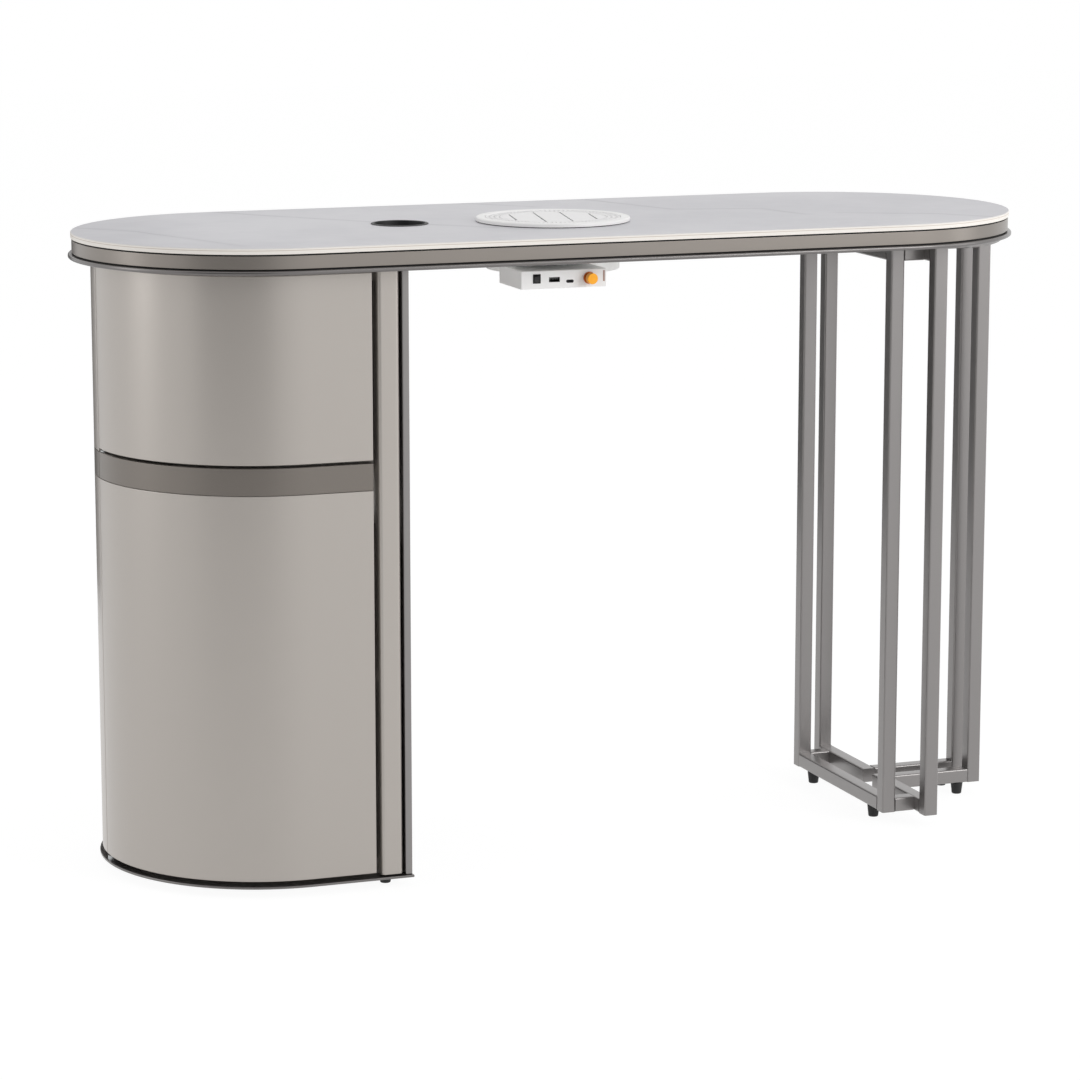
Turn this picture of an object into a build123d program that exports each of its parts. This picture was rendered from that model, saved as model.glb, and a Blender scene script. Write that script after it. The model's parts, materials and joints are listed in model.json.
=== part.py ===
from build123d import *
import math
import os

os.makedirs("parts", exist_ok=True)

# Manicure table with a nail dust collector sunk in its top, in millimetres.
# The origin is on the floor below the middle of the top. +X runs along the top
# towards the tube legs, +Y towards the back, and the controls face -Y.

# Table top
top_length = 1200.0
top_width = 446.0
top_height = 773.0
slab_thickness = 7.0
core_thickness = 19.0
rim_thickness = 5.0
rim_overhang = 3.5
rim_width = 22.0
apron_thickness = 1.5
apron_inset = 1.0
apron_top_gap = 0.6
apron_bottom_gap = 1.6
slab_arris = 0.8
board_gap = 0.3

slab_z = top_height - slab_thickness
core_z = slab_z - core_thickness
under_z = core_z - rim_thickness

# Cable grommet
cable_from_cabinet = 54.5
cable_y = 0.0
grommet_flange_radius = 35.0
grommet_flange_height = 1.2
grommet_sleeve_radius = 33.0
grommet_wall = 2.0
sleeve_clearance = 0.5

# Dust collector: a tub that drops into the top, with a lift-out cassette over a flat fan
collector_x = -10.0
tub_box_gap = 5.0
tub_radius = 82.0
tub_wall = 2.5
tub_lip = 16.0
bezel_lip = 12.5
bezel_height = 4.5
gasket_thickness = 1.0
gasket_inset = 2.0
grille_seat_step = 1.2
grille_clearance = 0.6
grille_thickness = 3.0
fan_ledge_width = 5.5
fan_ledge_height = 2.0
clamp_ring_width = 10.0
clamp_ring_thickness = 3.0
screw_count = 4
screw_radius = 1.5
screw_hole_clearance = 0.1
screw_head_radius = 2.8
screw_head_height = 1.6
fan_screw_head_radius = 2.2
clamp_screw_length = 9.0

slot_width = 2.4
slat_slots = 4
slat_spread = 0.9
slat_angle = -12.0
slat_field_inset = 5.0
ring_slots = 3
ring_slot_inset = 5.0
ring_slot_pitch = 6.0
ring_bridges = 8
ring_bridge_width = 6.0
skirt_clearance = 2.5
skirt_wall = 2.0
skirt_height = 6.5
filter_frame_height = 12.0
filter_frame_wall = 3.0
filter_bar_width = 3.0
filter_gap = 1.0
pleat_pitch = 8.0
pleat_height = 7.0
media_thickness = 1.0
media_clearance = 0.1

fan_frame_clearance = 0.3
fan_ring_width = 5.5
fan_frame_height = 20.0
fan_strut_width = 5.0
fan_strut_height = 3.0
motor_plate_radius = 17.0
bearing_tube_radius = 6.0
bearing_outer_radius = 4.5
bearing_height = 3.5
bearing_floor = 1.0
bearing_tube_height = 17.0
shaft_radius = 1.5
shaft_clearance = 0.05
hub_radius = 20.0
hub_wall = 2.0
hub_top_gap = 1.0
hub_bottom_gap = 1.5
shaft_end_gap = 0.5
blade_count = 7
blade_thickness = 1.6
blade_root_chord = 22.0
blade_tip_chord = 28.0
blade_root_pitch = 38.0
blade_tip_pitch = 25.0
blade_tip_gap = 3.0
blade_root_inset = 6.0
stator_outer_radius = 15.0
stator_slots = 6
stator_slot_length = 6.0
stator_slot_width = 3.0
stator_height = 8.0
stator_lift = 2.0
guard_thickness = 2.0
guard_slots = 5
guard_slot_inset = 6.0
guard_slot_pitch = 9.5
guard_slot_width = 6.0

# Control box, hung from the underside in front of the tub
box_left = -110.8
box_set_back = 31.0
box_depth = 77.0
box_height = 21.5
box_drop = 10.6
box_wall = 1.6
box_corner = 1.2
face_thickness = 3.0
face_corner = 1.0
face_edge = 0.6
switch_edge_gap = 14.8
switch_port_gap = 10.8
port_gap = 8.2
port_knob_gap = 11.9
knob_lens_gap = 10.85
lens_edge_gap = 1.95
switch_up = 12.3
switch_width = 9.6
switch_height = 11.0
switch_flange = 0.8
switch_flange_lip = 0.5
switch_body_lip = 0.6
switch_depth = 12.0
switch_floor = 1.0
rocker_side_gap = 0.2
rocker_end_gap = 0.8
rocker_width = 6.4
rocker_height = 7.2
rocker_tilt = 8.0
rocker_axis_depth = 2.5
rocker_tip_reach = 4.2
rocker_dip_reach = 3.2
rocker_cheek_reach = 1.5
rocker_heel_reach = 2.0
rocker_heel_half = 1.6
usb_a_up = 10.6
usb_a_width = 13.4
usb_a_height = 5.6
usb_a_depth = 14.0
usb_a_tongue = 1.6
usb_a_tongue_up = 1.0
usb_c_up = 8.0
usb_c_width = 9.4
usb_c_height = 3.6
usb_c_depth = 9.0
usb_c_tongue = 0.8
port_floor = 1.0
tongue_set_back = 1.2
tongue_side_gap = 1.0
port_wall = 0.5
port_clearance = 0.1
knob_up = 11.3
knob_radius = 6.6
knob_length = 8.0
knob_collar_radius = 7.2
knob_collar_length = 3.0
knob_waist_radius = 5.4
knob_waist_length = 2.4
knob_gap = 0.5
knob_edge = 0.8
spindle_overrun = 1.0
spindle_radius = 3.0
potentiometer_size = 12.0
potentiometer_depth = 7.0
bush_radius = 4.0
bush_clearance = 0.05
lens_width = 2.3
lens_height = 13.0
lens_up = 13.0
inlet_inset = 18.8
inlet_radius = 5.5
inlet_bore_radius = 3.0
inlet_pin_radius = 1.0
inlet_length = 12.0
inlet_floor = 2.0
bracket_inset = 13.8
hang_screw_inset = 10.0
bracket_thickness = 1.5
bracket_flange = 15.0
bracket_setback = 5.0
board_thickness = 1.6
pcb_up = 3.0
pcb_edge_gap = 1.0
pcb_rear_gap = 10.0
standoff_radius = 2.5
standoff_inset = 5.0

# Cabinet: a D plan, round on the left, flat on the right
cabinet_radius = 200.0
cabinet_straight = 124.5
panel_thickness = 15.0
side_panel_thickness = 8.5
pilaster_gap = 3.0
pilaster_width = 27.0
finger_gap = 6.5
seam_gap = 1.6
door_setback = 4.0
base_plate_z = 11.0
base_plate_thickness = 3.0
base_plate_lip = 3.3
base_plate_reach = 1.5
pilaster_bottom_gap = 2.0
pilaster_round = 5.0
door_bottom_z = 19.5
drawer_front_height = 221.0
band_height = 32.4
band_thickness = 1.5
drawer_gap = 3.6
divider_gap = 0.6
drawer_top_gap = 3.0
bottom_board_height = 20.0
board_height = 15.0
runner_board_thickness = 12.0
runner_board_gap = 13.6
drawer_seam_gap = 109.0
drawer_wall = 12.0
drawer_back_gap = 40.0
drawer_floor = 6.0
drawer_box_lift = 24.0
drawer_box_gap = 35.0
runner_space = 12.5
runner_height = 35.0
runner_depth = 9.0
runner_sheet = 1.5
runner_clearance = 0.6
runner_end_gap = 2.0
runner_lift = 43.0
shelf_z = 250.0
shelf_thickness = 12.0
shelf_clearance = 1.0
shelf_pin_radius = 2.5
shelf_pin_length = 12.0
shelf_pin_y = 120.0
shelf_pin_angles = (110.0, 160.0)
pivot_inset = 4.5
pivot_from_seam = 7.5
pivot_pin_radius = 2.5
pivot_pin_depth = 20.0
pivot_clearance = 0.05
pivot_plate_thickness = 2.0
pivot_plate_radius = 4.3
pivot_block_height = 5.0
pivot_block_radius = 5.8
pivot_plate_length = 40.0
pivot_end_gap = 0.4
pivot_bore_gap = 1.0
catch_drop = 82.0
catch_height = 40.0
catch_width = 22.0
catch_depth = 20.0
strike_thickness = 1.2
strike_width = 14.0
strike_height = 30.0
catch_round = 1.5
catch_gap = 0.3
foot_radius = 8.0
foot_taper = 1.8
foot_edge_inset = 26.0
foot_ring_inset = 47.0
foot_ring_angle = 38.0

# Leg frames of square tube
tube = 18.0
tube_wall = 1.5
weld_gap = 0.1
leg_bottom_z = 15.6
leg_plate_thickness = 5.4
inner_frame_offset = 19.0
inner_frame_half_width = 139.0
outer_frame_offset = 63.0
outer_frame_half_width = 170.5
outer_rail_inner_y = 14.3
outer_post_offset = 192.0
inner_foot_y = 93.0
outer_foot_inset = 11.0
leg_plate_reach = 214.0
leg_screw_radius = 2.5
leg_screw_length = 20.0
leg_screw_head_radius = 4.5
leg_screw_head_height = 2.4
hang_screw_length = 4.5
fan_screw_end_gap = 0.3

# Levels and places worked out from the sizes above
end_x = (top_length - top_width) / 2
cabinet_x = -end_x
cabinet_right = cabinet_x + cabinet_straight
seam_x = cabinet_x - cabinet_radius
inner_radius = cabinet_radius - panel_thickness
board_front_radius = inner_radius - door_setback
side_panel_x = cabinet_right - side_panel_thickness
pilaster_right = side_panel_x - pilaster_gap
pilaster_left = pilaster_right - pilaster_width
door_right = pilaster_left - finger_gap
drawer_width = pilaster_left - seam_x - drawer_seam_gap
base_top = base_plate_z + base_plate_thickness
drawer_top_z = under_z - drawer_top_gap
drawer_bottom_z = drawer_top_z - drawer_front_height
band_top = drawer_bottom_z - drawer_gap
band_z = band_top - band_height
divider_top = band_top + divider_gap
top_board_z = under_z - board_height
bottom_board_top = base_top + bottom_board_height
top_rail_z = under_z - leg_plate_thickness - tube
inner_frame_x = end_x + inner_frame_offset
outer_frame_x = end_x + outer_frame_offset
outer_post_x = end_x + outer_post_offset
outer_foot_x = outer_post_x - outer_foot_inset

box_front = -top_width / 2 + box_set_back
switch_x = box_left + switch_edge_gap + switch_width / 2
usb_a_x = switch_x + (switch_width + usb_a_width) / 2 + switch_port_gap
usb_c_x = usb_a_x + (usb_a_width + usb_c_width) / 2 + port_gap
knob_x = usb_c_x + usb_c_width / 2 + port_knob_gap + knob_collar_radius
lens_x = knob_x + knob_collar_radius + knob_lens_gap + lens_width / 2
box_width = lens_x + lens_width / 2 + lens_edge_gap - box_left
inlet_x = box_left + inlet_inset
bracket_width = box_width - 2 * bracket_inset

cable_x = cabinet_right + cable_from_cabinet
collector_y = box_front + box_depth + tub_box_gap + tub_radius
collector_centre = (collector_x, collector_y)
collector_plane = Plane(origin=(collector_x, collector_y, 0), x_dir=(1, 0, 0), z_dir=(0, -1, 0))
collector_axis = Axis((collector_x, collector_y, 0), (0, 0, 1))
flange_z = top_height + gasket_thickness
bezel_top = flange_z + bezel_height
seat_z = bezel_top - grille_thickness
tub_inner = tub_radius - tub_wall
bezel_radius = tub_radius + bezel_lip
grille_seat_radius = tub_radius + grille_seat_step
skirt_outer_radius = tub_inner - skirt_clearance
ring_slot_radii = [skirt_outer_radius - ring_slot_inset - n * ring_slot_pitch for n in range(ring_slots)]
slat_field_radius = ring_slot_radii[-1] - slat_field_inset
slat_spacing = 2 * slat_spread * slat_field_radius / (slat_slots - 1)
filter_top = seat_z - skirt_height
filter_bottom = filter_top - filter_frame_height
ledge_z = filter_bottom - filter_gap - fan_ledge_height
fan_bottom = ledge_z - fan_frame_height
fan_ring_inner_radius = tub_inner - fan_ring_width
guard_z = fan_bottom - guard_thickness
tub_bottom = guard_z - tub_lip
collector_hole = tub_radius + sleeve_clearance
cable_hole = grommet_sleeve_radius + sleeve_clearance
screw_hole = screw_radius + screw_hole_clearance
clamp_ring_z = under_z - clamp_ring_thickness
clamp_screw_circle = tub_radius + clamp_ring_width / 2
fan_screw_circle = (tub_inner + fan_ring_inner_radius) / 2
box_back = box_front + box_depth
box_top = under_z - box_drop
box_bottom = box_top - box_height
bracket_left = box_left + bracket_inset
bracket_back = box_back - bracket_setback
bracket_screw_x = (
    bracket_left + hang_screw_inset,
    bracket_left + bracket_width - hang_screw_inset,
)
hang_screw_y = bracket_back - 1.5 * bracket_flange
leg_plate_length = outer_post_x + tube - inner_frame_x
leg_plate_width = outer_frame_half_width - outer_rail_inner_y
leg_screw_hole = leg_screw_radius + screw_hole_clearance
leg_screw_spots = [
    (x, side * y)
    for side in (-1, 1)
    for x, y in (
        ((inner_frame_x + tube + outer_frame_x) / 2, outer_frame_half_width / 2),
        (outer_frame_x + 3 * tube, outer_rail_inner_y + 3 * tube),
        (outer_frame_x + 3 * tube, outer_frame_half_width - tube),
        (outer_post_x - tube, outer_frame_half_width / 2),
    )
]
corner = (Align.MIN, Align.MIN, Align.MIN)


def d_plan(radius, right_x):
    # D outline: half circle on the left, straight front and back up to right_x
    with BuildSketch() as plan:
        with BuildLine():
            Polyline((cabinet_x, -radius), (right_x, -radius), (right_x, radius), (cabinet_x, radius))
            CenterArc((cabinet_x, 0), radius, 90, 180)
        make_face()
    return plan.sketch


def board_plan(right_x, back_radius):
    # A cabinet board: back edge against the shell, front edge set back behind the door
    with BuildSketch() as plan:
        add(d_plan(back_radius, right_x))
        with Locations((cabinet_x, -cabinet_radius / 2)):
            Rectangle(3 * cabinet_radius, cabinet_radius, mode=Mode.SUBTRACT)
        add(d_plan(board_front_radius, right_x))
    return plan.sketch


def wall_plan(outer_radius, thickness, right_x):
    # The bent wall of the cabinet between two parallel D outlines
    with BuildSketch() as plan:
        add(d_plan(outer_radius, right_x))
        add(d_plan(outer_radius - thickness, right_x + thickness), mode=Mode.SUBTRACT)
    return plan.sketch


def front_plan(outer_radius, thickness):
    # The moving front, from the seam at the left to the finger gap at the right
    with BuildSketch() as plan:
        add(wall_plan(outer_radius, thickness, door_right))
        with Locations((cabinet_x, cabinet_radius - seam_gap / 2)):
            Rectangle(3 * cabinet_radius, 2 * cabinet_radius, mode=Mode.SUBTRACT)
    return plan.sketch


def back_plan(outer_radius, thickness):
    # The fixed shell, from the seam round the back to the side panel
    with BuildSketch() as plan:
        add(wall_plan(outer_radius, thickness, side_panel_x))
        with Locations((cabinet_x, -cabinet_radius + seam_gap / 2)):
            Rectangle(3 * cabinet_radius, 2 * cabinet_radius, mode=Mode.SUBTRACT)
    return plan.sketch


# ---- table top ----

with BuildPart() as stone_top:
    with BuildSketch(Plane.XY.offset(slab_z)):
        SlotOverall(top_length, top_width)
    extrude(amount=slab_thickness)
    chamfer(stone_top.edges().group_by(Axis.Z)[-1], slab_arris)
    with BuildSketch(Plane.XY.offset(slab_z)):
        with Locations(collector_centre):
            Circle(collector_hole)
        with Locations((cable_x, cable_y)):
            Circle(cable_hole)
    extrude(amount=slab_thickness, mode=Mode.SUBTRACT)
stone_top.part.label = "stone_top"
export_step(stone_top.part, "parts/stone_top.step")

core_inset = apron_inset + apron_thickness + board_gap
with BuildPart() as core_board:
    with BuildSketch(Plane.XY.offset(core_z)):
        SlotOverall(top_length - 2 * core_inset, top_width - 2 * core_inset)
        with Locations(collector_centre):
            Circle(collector_hole, mode=Mode.SUBTRACT)
        with Locations((cable_x, cable_y)):
            Circle(cable_hole, mode=Mode.SUBTRACT)
    extrude(amount=core_thickness)
    with BuildSketch(Plane.XY.offset(core_z)):
        with Locations(leg_screw_spots):
            Circle(leg_screw_hole)
    extrude(amount=leg_screw_length, mode=Mode.SUBTRACT)
    with BuildSketch(Plane.XY.offset(core_z)):
        with Locations(collector_centre):
            with PolarLocations(clamp_screw_circle, screw_count, start_angle=45):
                Circle(screw_hole)
    extrude(amount=clamp_screw_length, mode=Mode.SUBTRACT)
core_board.part.label = "core_board"
export_step(core_board.part, "parts/core_board.step")

apron_height = core_thickness - apron_top_gap - apron_bottom_gap
with BuildPart() as apron_band:
    with BuildSketch(Plane.XY.offset(core_z + apron_bottom_gap)):
        SlotOverall(top_length - 2 * apron_inset, top_width - 2 * apron_inset)
        SlotOverall(
            top_length - 2 * (apron_inset + apron_thickness),
            top_width - 2 * (apron_inset + apron_thickness),
            mode=Mode.SUBTRACT,
        )
    extrude(amount=apron_height)
apron_band.part.label = "apron_band"
export_step(apron_band.part, "parts/apron_band.step")

rim_inner_length = top_length + 2 * rim_overhang - 2 * rim_width
rim_inner_width = top_width + 2 * rim_overhang - 2 * rim_width
with BuildPart() as rim_plate:
    with BuildSketch(Plane.XY.offset(under_z)):
        SlotOverall(top_length + 2 * rim_overhang, top_width + 2 * rim_overhang)
        SlotOverall(rim_inner_length, rim_inner_width, mode=Mode.SUBTRACT)
    extrude(amount=rim_thickness)
rim_plate.part.label = "rim_plate"
export_step(rim_plate.part, "parts/rim_plate.step")

with BuildPart() as under_board:
    with BuildSketch(Plane.XY.offset(under_z)):
        SlotOverall(rim_inner_length - 2 * board_gap, rim_inner_width - 2 * board_gap)
        with Locations(collector_centre):
            Circle(collector_hole, mode=Mode.SUBTRACT)
        with Locations((cable_x, cable_y)):
            Circle(cable_hole, mode=Mode.SUBTRACT)
        with Locations(collector_centre):
            with PolarLocations(clamp_screw_circle, screw_count, start_angle=45):
                Circle(screw_hole, mode=Mode.SUBTRACT)
        with Locations(*[(x, hang_screw_y) for x in bracket_screw_x]):
            Circle(screw_hole, mode=Mode.SUBTRACT)
        with Locations(leg_screw_spots):
            Circle(leg_screw_hole, mode=Mode.SUBTRACT)
    extrude(amount=rim_thickness)
under_board.part.label = "under_board"
export_step(under_board.part, "parts/under_board.step")

grommet_bore = grommet_sleeve_radius - grommet_wall
grommet_plane = Plane(origin=(cable_x, cable_y, 0), x_dir=(1, 0, 0), z_dir=(0, -1, 0))
with BuildPart() as cable_grommet:
    with BuildSketch(grommet_plane):
        with BuildLine():
            Polyline(
                (grommet_bore, under_z),
                (grommet_sleeve_radius, under_z),
                (grommet_sleeve_radius, top_height),
                (grommet_flange_radius, top_height),
                (grommet_flange_radius, top_height + grommet_flange_height / 2),
                (grommet_flange_radius - grommet_flange_height / 2, top_height + grommet_flange_height),
                (grommet_bore, top_height + grommet_flange_height),
                close=True,
            )
        make_face()
    revolve(axis=Axis((cable_x, cable_y, 0), (0, 0, 1)))
cable_grommet.part.label = "cable_grommet"
export_step(cable_grommet.part, "parts/cable_grommet.step")

# ---- dust collector ----

bezel_chamfer = bezel_height / 2
seat_chamfer = 0.8
with BuildPart() as collector_tub:
    with BuildSketch(collector_plane):
        with BuildLine():
            Polyline(
                (tub_inner, tub_bottom),
                (tub_radius, tub_bottom),
                (tub_radius, flange_z),
                (bezel_radius, flange_z),
                (bezel_radius, bezel_top - bezel_chamfer),
                (bezel_radius - bezel_chamfer, bezel_top),
                (grille_seat_radius + seat_chamfer, bezel_top),
                (grille_seat_radius, bezel_top - seat_chamfer),
                (grille_seat_radius, seat_z),
                (tub_inner, seat_z),
                (tub_inner, ledge_z + fan_ledge_height),
                (tub_inner - fan_ledge_width, ledge_z + fan_ledge_height),
                (tub_inner - fan_ledge_width, ledge_z),
                (tub_inner, ledge_z),
                close=True,
            )
        make_face()
    revolve(axis=collector_axis)
    with BuildSketch(Plane.XY.offset(ledge_z)):
        with Locations(collector_centre):
            with PolarLocations(fan_screw_circle, screw_count, start_angle=45):
                Circle(screw_hole)
    extrude(amount=fan_ledge_height, mode=Mode.SUBTRACT)
collector_tub.part.label = "collector_tub"
export_step(collector_tub.part, "parts/collector_tub.step")

with BuildPart() as bezel_gasket:
    with BuildSketch(Plane.XY.offset(top_height)):
        with Locations(collector_centre):
            Circle(bezel_radius - gasket_inset)
            Circle(collector_hole + gasket_inset, mode=Mode.SUBTRACT)
    extrude(amount=gasket_thickness)
bezel_gasket.part.label = "bezel_gasket"
export_step(bezel_gasket.part, "parts/bezel_gasket.step")

with BuildPart() as clamp_ring:
    with BuildSketch(Plane.XY.offset(clamp_ring_z)):
        with Locations(collector_centre):
            Circle(tub_radius + clamp_ring_width)
            Circle(tub_radius + board_gap, mode=Mode.SUBTRACT)
            with PolarLocations(clamp_screw_circle, screw_count, start_angle=45):
                Circle(screw_hole, mode=Mode.SUBTRACT)
    extrude(amount=clamp_ring_thickness)
clamp_ring.part.label = "clamp_ring"
export_step(clamp_ring.part, "parts/clamp_ring.step")

grille_radius = grille_seat_radius - grille_clearance
with BuildPart() as intake_grille:
    with BuildSketch(Plane.XY.offset(seat_z)):
        with Locations(collector_centre):
            Circle(grille_radius)
    extrude(amount=grille_thickness)
    chamfer(intake_grille.edges().group_by(Axis.Z)[-1], seat_chamfer)
    with BuildSketch(Plane.XY.offset(seat_z)):
        with Locations(collector_centre):
            for radius in ring_slot_radii:
                Circle(radius + slot_width / 2)
                Circle(radius - slot_width / 2, mode=Mode.SUBTRACT)
            with PolarLocations(ring_slot_radii[1], ring_bridges):
                Rectangle(ring_slot_radii[0] - ring_slot_radii[2] + 2 * slot_width, ring_bridge_width,
                          mode=Mode.SUBTRACT)
    extrude(amount=grille_thickness, mode=Mode.SUBTRACT)
    slot_plane = Plane(origin=(collector_x, collector_y, seat_z)).rotated((0, 0, slat_angle))
    with BuildSketch(slot_plane):
        for n in range(slat_slots):
            across = (n - (slat_slots - 1) / 2) * slat_spacing
            with Locations((across, 0)):
                Rectangle(slot_width, 2 * math.sqrt(slat_field_radius**2 - across**2))
    extrude(amount=grille_thickness, mode=Mode.SUBTRACT)
    with BuildSketch(Plane.XY.offset(seat_z - skirt_height)):
        with Locations(collector_centre):
            Circle(skirt_outer_radius)
            Circle(skirt_outer_radius - skirt_wall, mode=Mode.SUBTRACT)
    extrude(amount=skirt_height)
intake_grille.part.label = "intake_grille"
export_step(intake_grille.part, "parts/intake_grille.step")

media_radius = skirt_outer_radius - filter_frame_wall
with BuildPart() as filter_frame:
    with BuildSketch(Plane.XY.offset(filter_bottom)):
        with Locations(collector_centre):
            Circle(skirt_outer_radius)
            Circle(media_radius, mode=Mode.SUBTRACT)
    extrude(amount=filter_frame_height)
    with BuildSketch(Plane.XY.offset(filter_bottom)):
        with Locations(collector_centre):
            Rectangle(2 * media_radius + 1, filter_bar_width)
            Rectangle(filter_bar_width, 2 * media_radius + 1)
    extrude(amount=filter_bar_width / 2)
filter_frame.part.label = "filter_frame"
export_step(filter_frame.part, "parts/filter_frame.step")

media_z = filter_bottom + filter_bar_width / 2
half_pleats = int(2 * media_radius / pleat_pitch) + 2
pleat_left = -half_pleats * pleat_pitch / 2
fold = [
    (pleat_left + n * pleat_pitch / 2, media_z + (n % 2) * pleat_height)
    for n in range(2 * half_pleats + 1)
]
with BuildPart() as filter_media:
    with BuildSketch(collector_plane):
        with BuildLine():
            Polyline(*fold, *[(x, z + 2 * media_thickness) for x, z in reversed(fold)], close=True)
        make_face()
    extrude(amount=media_radius, both=True)
    with BuildSketch(Plane.XY.offset(media_z)):
        with Locations(collector_centre):
            Circle(media_radius - media_clearance)
    extrude(amount=filter_frame_height, mode=Mode.INTERSECT)
filter_media.part.label = "filter_media"
export_step(filter_media.part, "parts/filter_media.step")

fan_outer = tub_inner - fan_frame_clearance
tube_top = fan_bottom + bearing_tube_height
with BuildPart() as fan_frame:
    with BuildSketch(Plane.XY.offset(fan_bottom)):
        with Locations(collector_centre):
            Circle(fan_outer)
            Circle(fan_ring_inner_radius, mode=Mode.SUBTRACT)
    extrude(amount=fan_frame_height)
    with BuildSketch(Plane.XY.offset(fan_bottom)):
        with Locations(collector_centre):
            Rectangle(2 * fan_ring_inner_radius + 2, fan_strut_width)
            Rectangle(fan_strut_width, 2 * fan_ring_inner_radius + 2)
            Circle(motor_plate_radius)
    extrude(amount=fan_strut_height)
    with BuildSketch(Plane.XY.offset(fan_bottom)):
        with Locations(collector_centre):
            Circle(bearing_tube_radius)
    extrude(amount=tube_top - fan_bottom)
    with BuildSketch(Plane.XY.offset(fan_bottom + bearing_floor)):
        with Locations(collector_centre):
            Circle(bearing_outer_radius)
    extrude(amount=fan_frame_height, mode=Mode.SUBTRACT)
    with BuildSketch(Plane.XY.offset(fan_bottom)):
        with Locations(collector_centre):
            with PolarLocations(fan_screw_circle, screw_count, start_angle=45):
                Circle(screw_hole)
    extrude(amount=fan_frame_height, mode=Mode.SUBTRACT)
fan_frame.part.label = "fan_frame"
export_step(fan_frame.part, "parts/fan_frame.step")

bearing_levels = (fan_bottom + bearing_floor, tube_top - bearing_height)
with BuildPart() as fan_bearings:
    for level in bearing_levels:
        with BuildSketch(Plane.XY.offset(level)):
            with Locations(collector_centre):
                Circle(bearing_outer_radius)
                Circle(shaft_radius + shaft_clearance, mode=Mode.SUBTRACT)
        extrude(amount=bearing_height)
fan_bearings.part.label = "fan_bearings"
export_step(fan_bearings.part, "parts/fan_bearings.step")

stator_z = fan_bottom + fan_strut_height + stator_lift
with BuildPart() as motor_stator:
    with BuildSketch(Plane.XY.offset(stator_z)):
        with Locations(collector_centre):
            Circle(stator_outer_radius)
            Circle(bearing_tube_radius, mode=Mode.SUBTRACT)
            with PolarLocations(stator_outer_radius, stator_slots):
                Rectangle(2 * stator_slot_length, stator_slot_width, mode=Mode.SUBTRACT)
    extrude(amount=stator_height)
motor_stator.part.label = "motor_stator"
export_step(motor_stator.part, "parts/motor_stator.step")

hub_top = ledge_z - hub_top_gap
hub_bottom = fan_bottom + fan_strut_height + hub_bottom_gap
blade_mid = (hub_top + hub_bottom) / 2
blade_tip = fan_ring_inner_radius - blade_tip_gap
with BuildPart() as impeller:
    for n in range(blade_count):
        turn = 360 * n / blade_count
        along = Vector(1, 0, 0).rotate(Axis.Z, turn)
        across = Vector(0, 1, 0).rotate(Axis.Z, turn)
        centre = Vector(collector_x, collector_y, blade_mid)
        root_at = centre + along * (hub_radius - blade_root_inset)
        with BuildSketch(Plane(origin=root_at, x_dir=across, z_dir=along)):
            Rectangle(blade_root_chord, blade_thickness, rotation=blade_root_pitch)
        with BuildSketch(Plane(origin=centre + along * blade_tip, x_dir=across, z_dir=along)):
            Rectangle(blade_tip_chord, blade_thickness, rotation=blade_tip_pitch)
        loft()
    with BuildSketch(Plane.XY.offset(hub_bottom)):
        with Locations(collector_centre):
            Circle(hub_radius)
    extrude(amount=hub_top - hub_bottom)
    with BuildSketch(Plane.XY.offset(hub_bottom)):
        with Locations(collector_centre):
            Circle(hub_radius - hub_wall)
    extrude(amount=hub_top - hub_bottom - hub_wall, mode=Mode.SUBTRACT)
    with BuildSketch(Plane.XY.offset(hub_bottom)):
        with Locations(collector_centre):
            Circle(shaft_radius)
    extrude(amount=hub_top - hub_bottom, mode=Mode.SUBTRACT)
impeller.part.label = "impeller"
export_step(impeller.part, "parts/impeller.step")

shaft_bottom = fan_bottom + bearing_floor + shaft_end_gap
with BuildPart() as fan_shaft:
    with BuildSketch(Plane.XY.offset(shaft_bottom)):
        with Locations(collector_centre):
            Circle(shaft_radius)
    extrude(amount=hub_top - shaft_bottom)
fan_shaft.part.label = "fan_shaft"
export_step(fan_shaft.part, "parts/fan_shaft.step")

with BuildPart() as exhaust_guard:
    with BuildSketch(Plane.XY.offset(guard_z)):
        with Locations(collector_centre):
            Circle(fan_outer)
            with PolarLocations(fan_screw_circle, screw_count, start_angle=45):
                Circle(screw_hole, mode=Mode.SUBTRACT)
    extrude(amount=guard_thickness)
    with BuildSketch(Plane.XY.offset(guard_z)):
        with Locations(collector_centre):
            for n in range(guard_slots):
                radius = fan_ring_inner_radius - guard_slot_inset - n * guard_slot_pitch
                Circle(radius + guard_slot_width / 2)
                Circle(radius - guard_slot_width / 2, mode=Mode.SUBTRACT)
            Rectangle(3 * fan_outer, guard_slot_width, mode=Mode.SUBTRACT)
            Rectangle(guard_slot_width, 3 * fan_outer, mode=Mode.SUBTRACT)
    extrude(amount=guard_thickness, mode=Mode.SUBTRACT)
exhaust_guard.part.label = "exhaust_guard"
export_step(exhaust_guard.part, "parts/exhaust_guard.step")


def add_screw(x, y, head_z, length, shank_radius, head_radius, head_height):
    # A screw driven upwards, its head seated below head_z
    with Locations((x, y, head_z - head_height)):
        Cylinder(head_radius, head_height, align=(Align.CENTER, Align.CENTER, Align.MIN))
    with Locations((x, y, head_z)):
        Cylinder(shank_radius, length, align=(Align.CENTER, Align.CENTER, Align.MIN))


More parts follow.
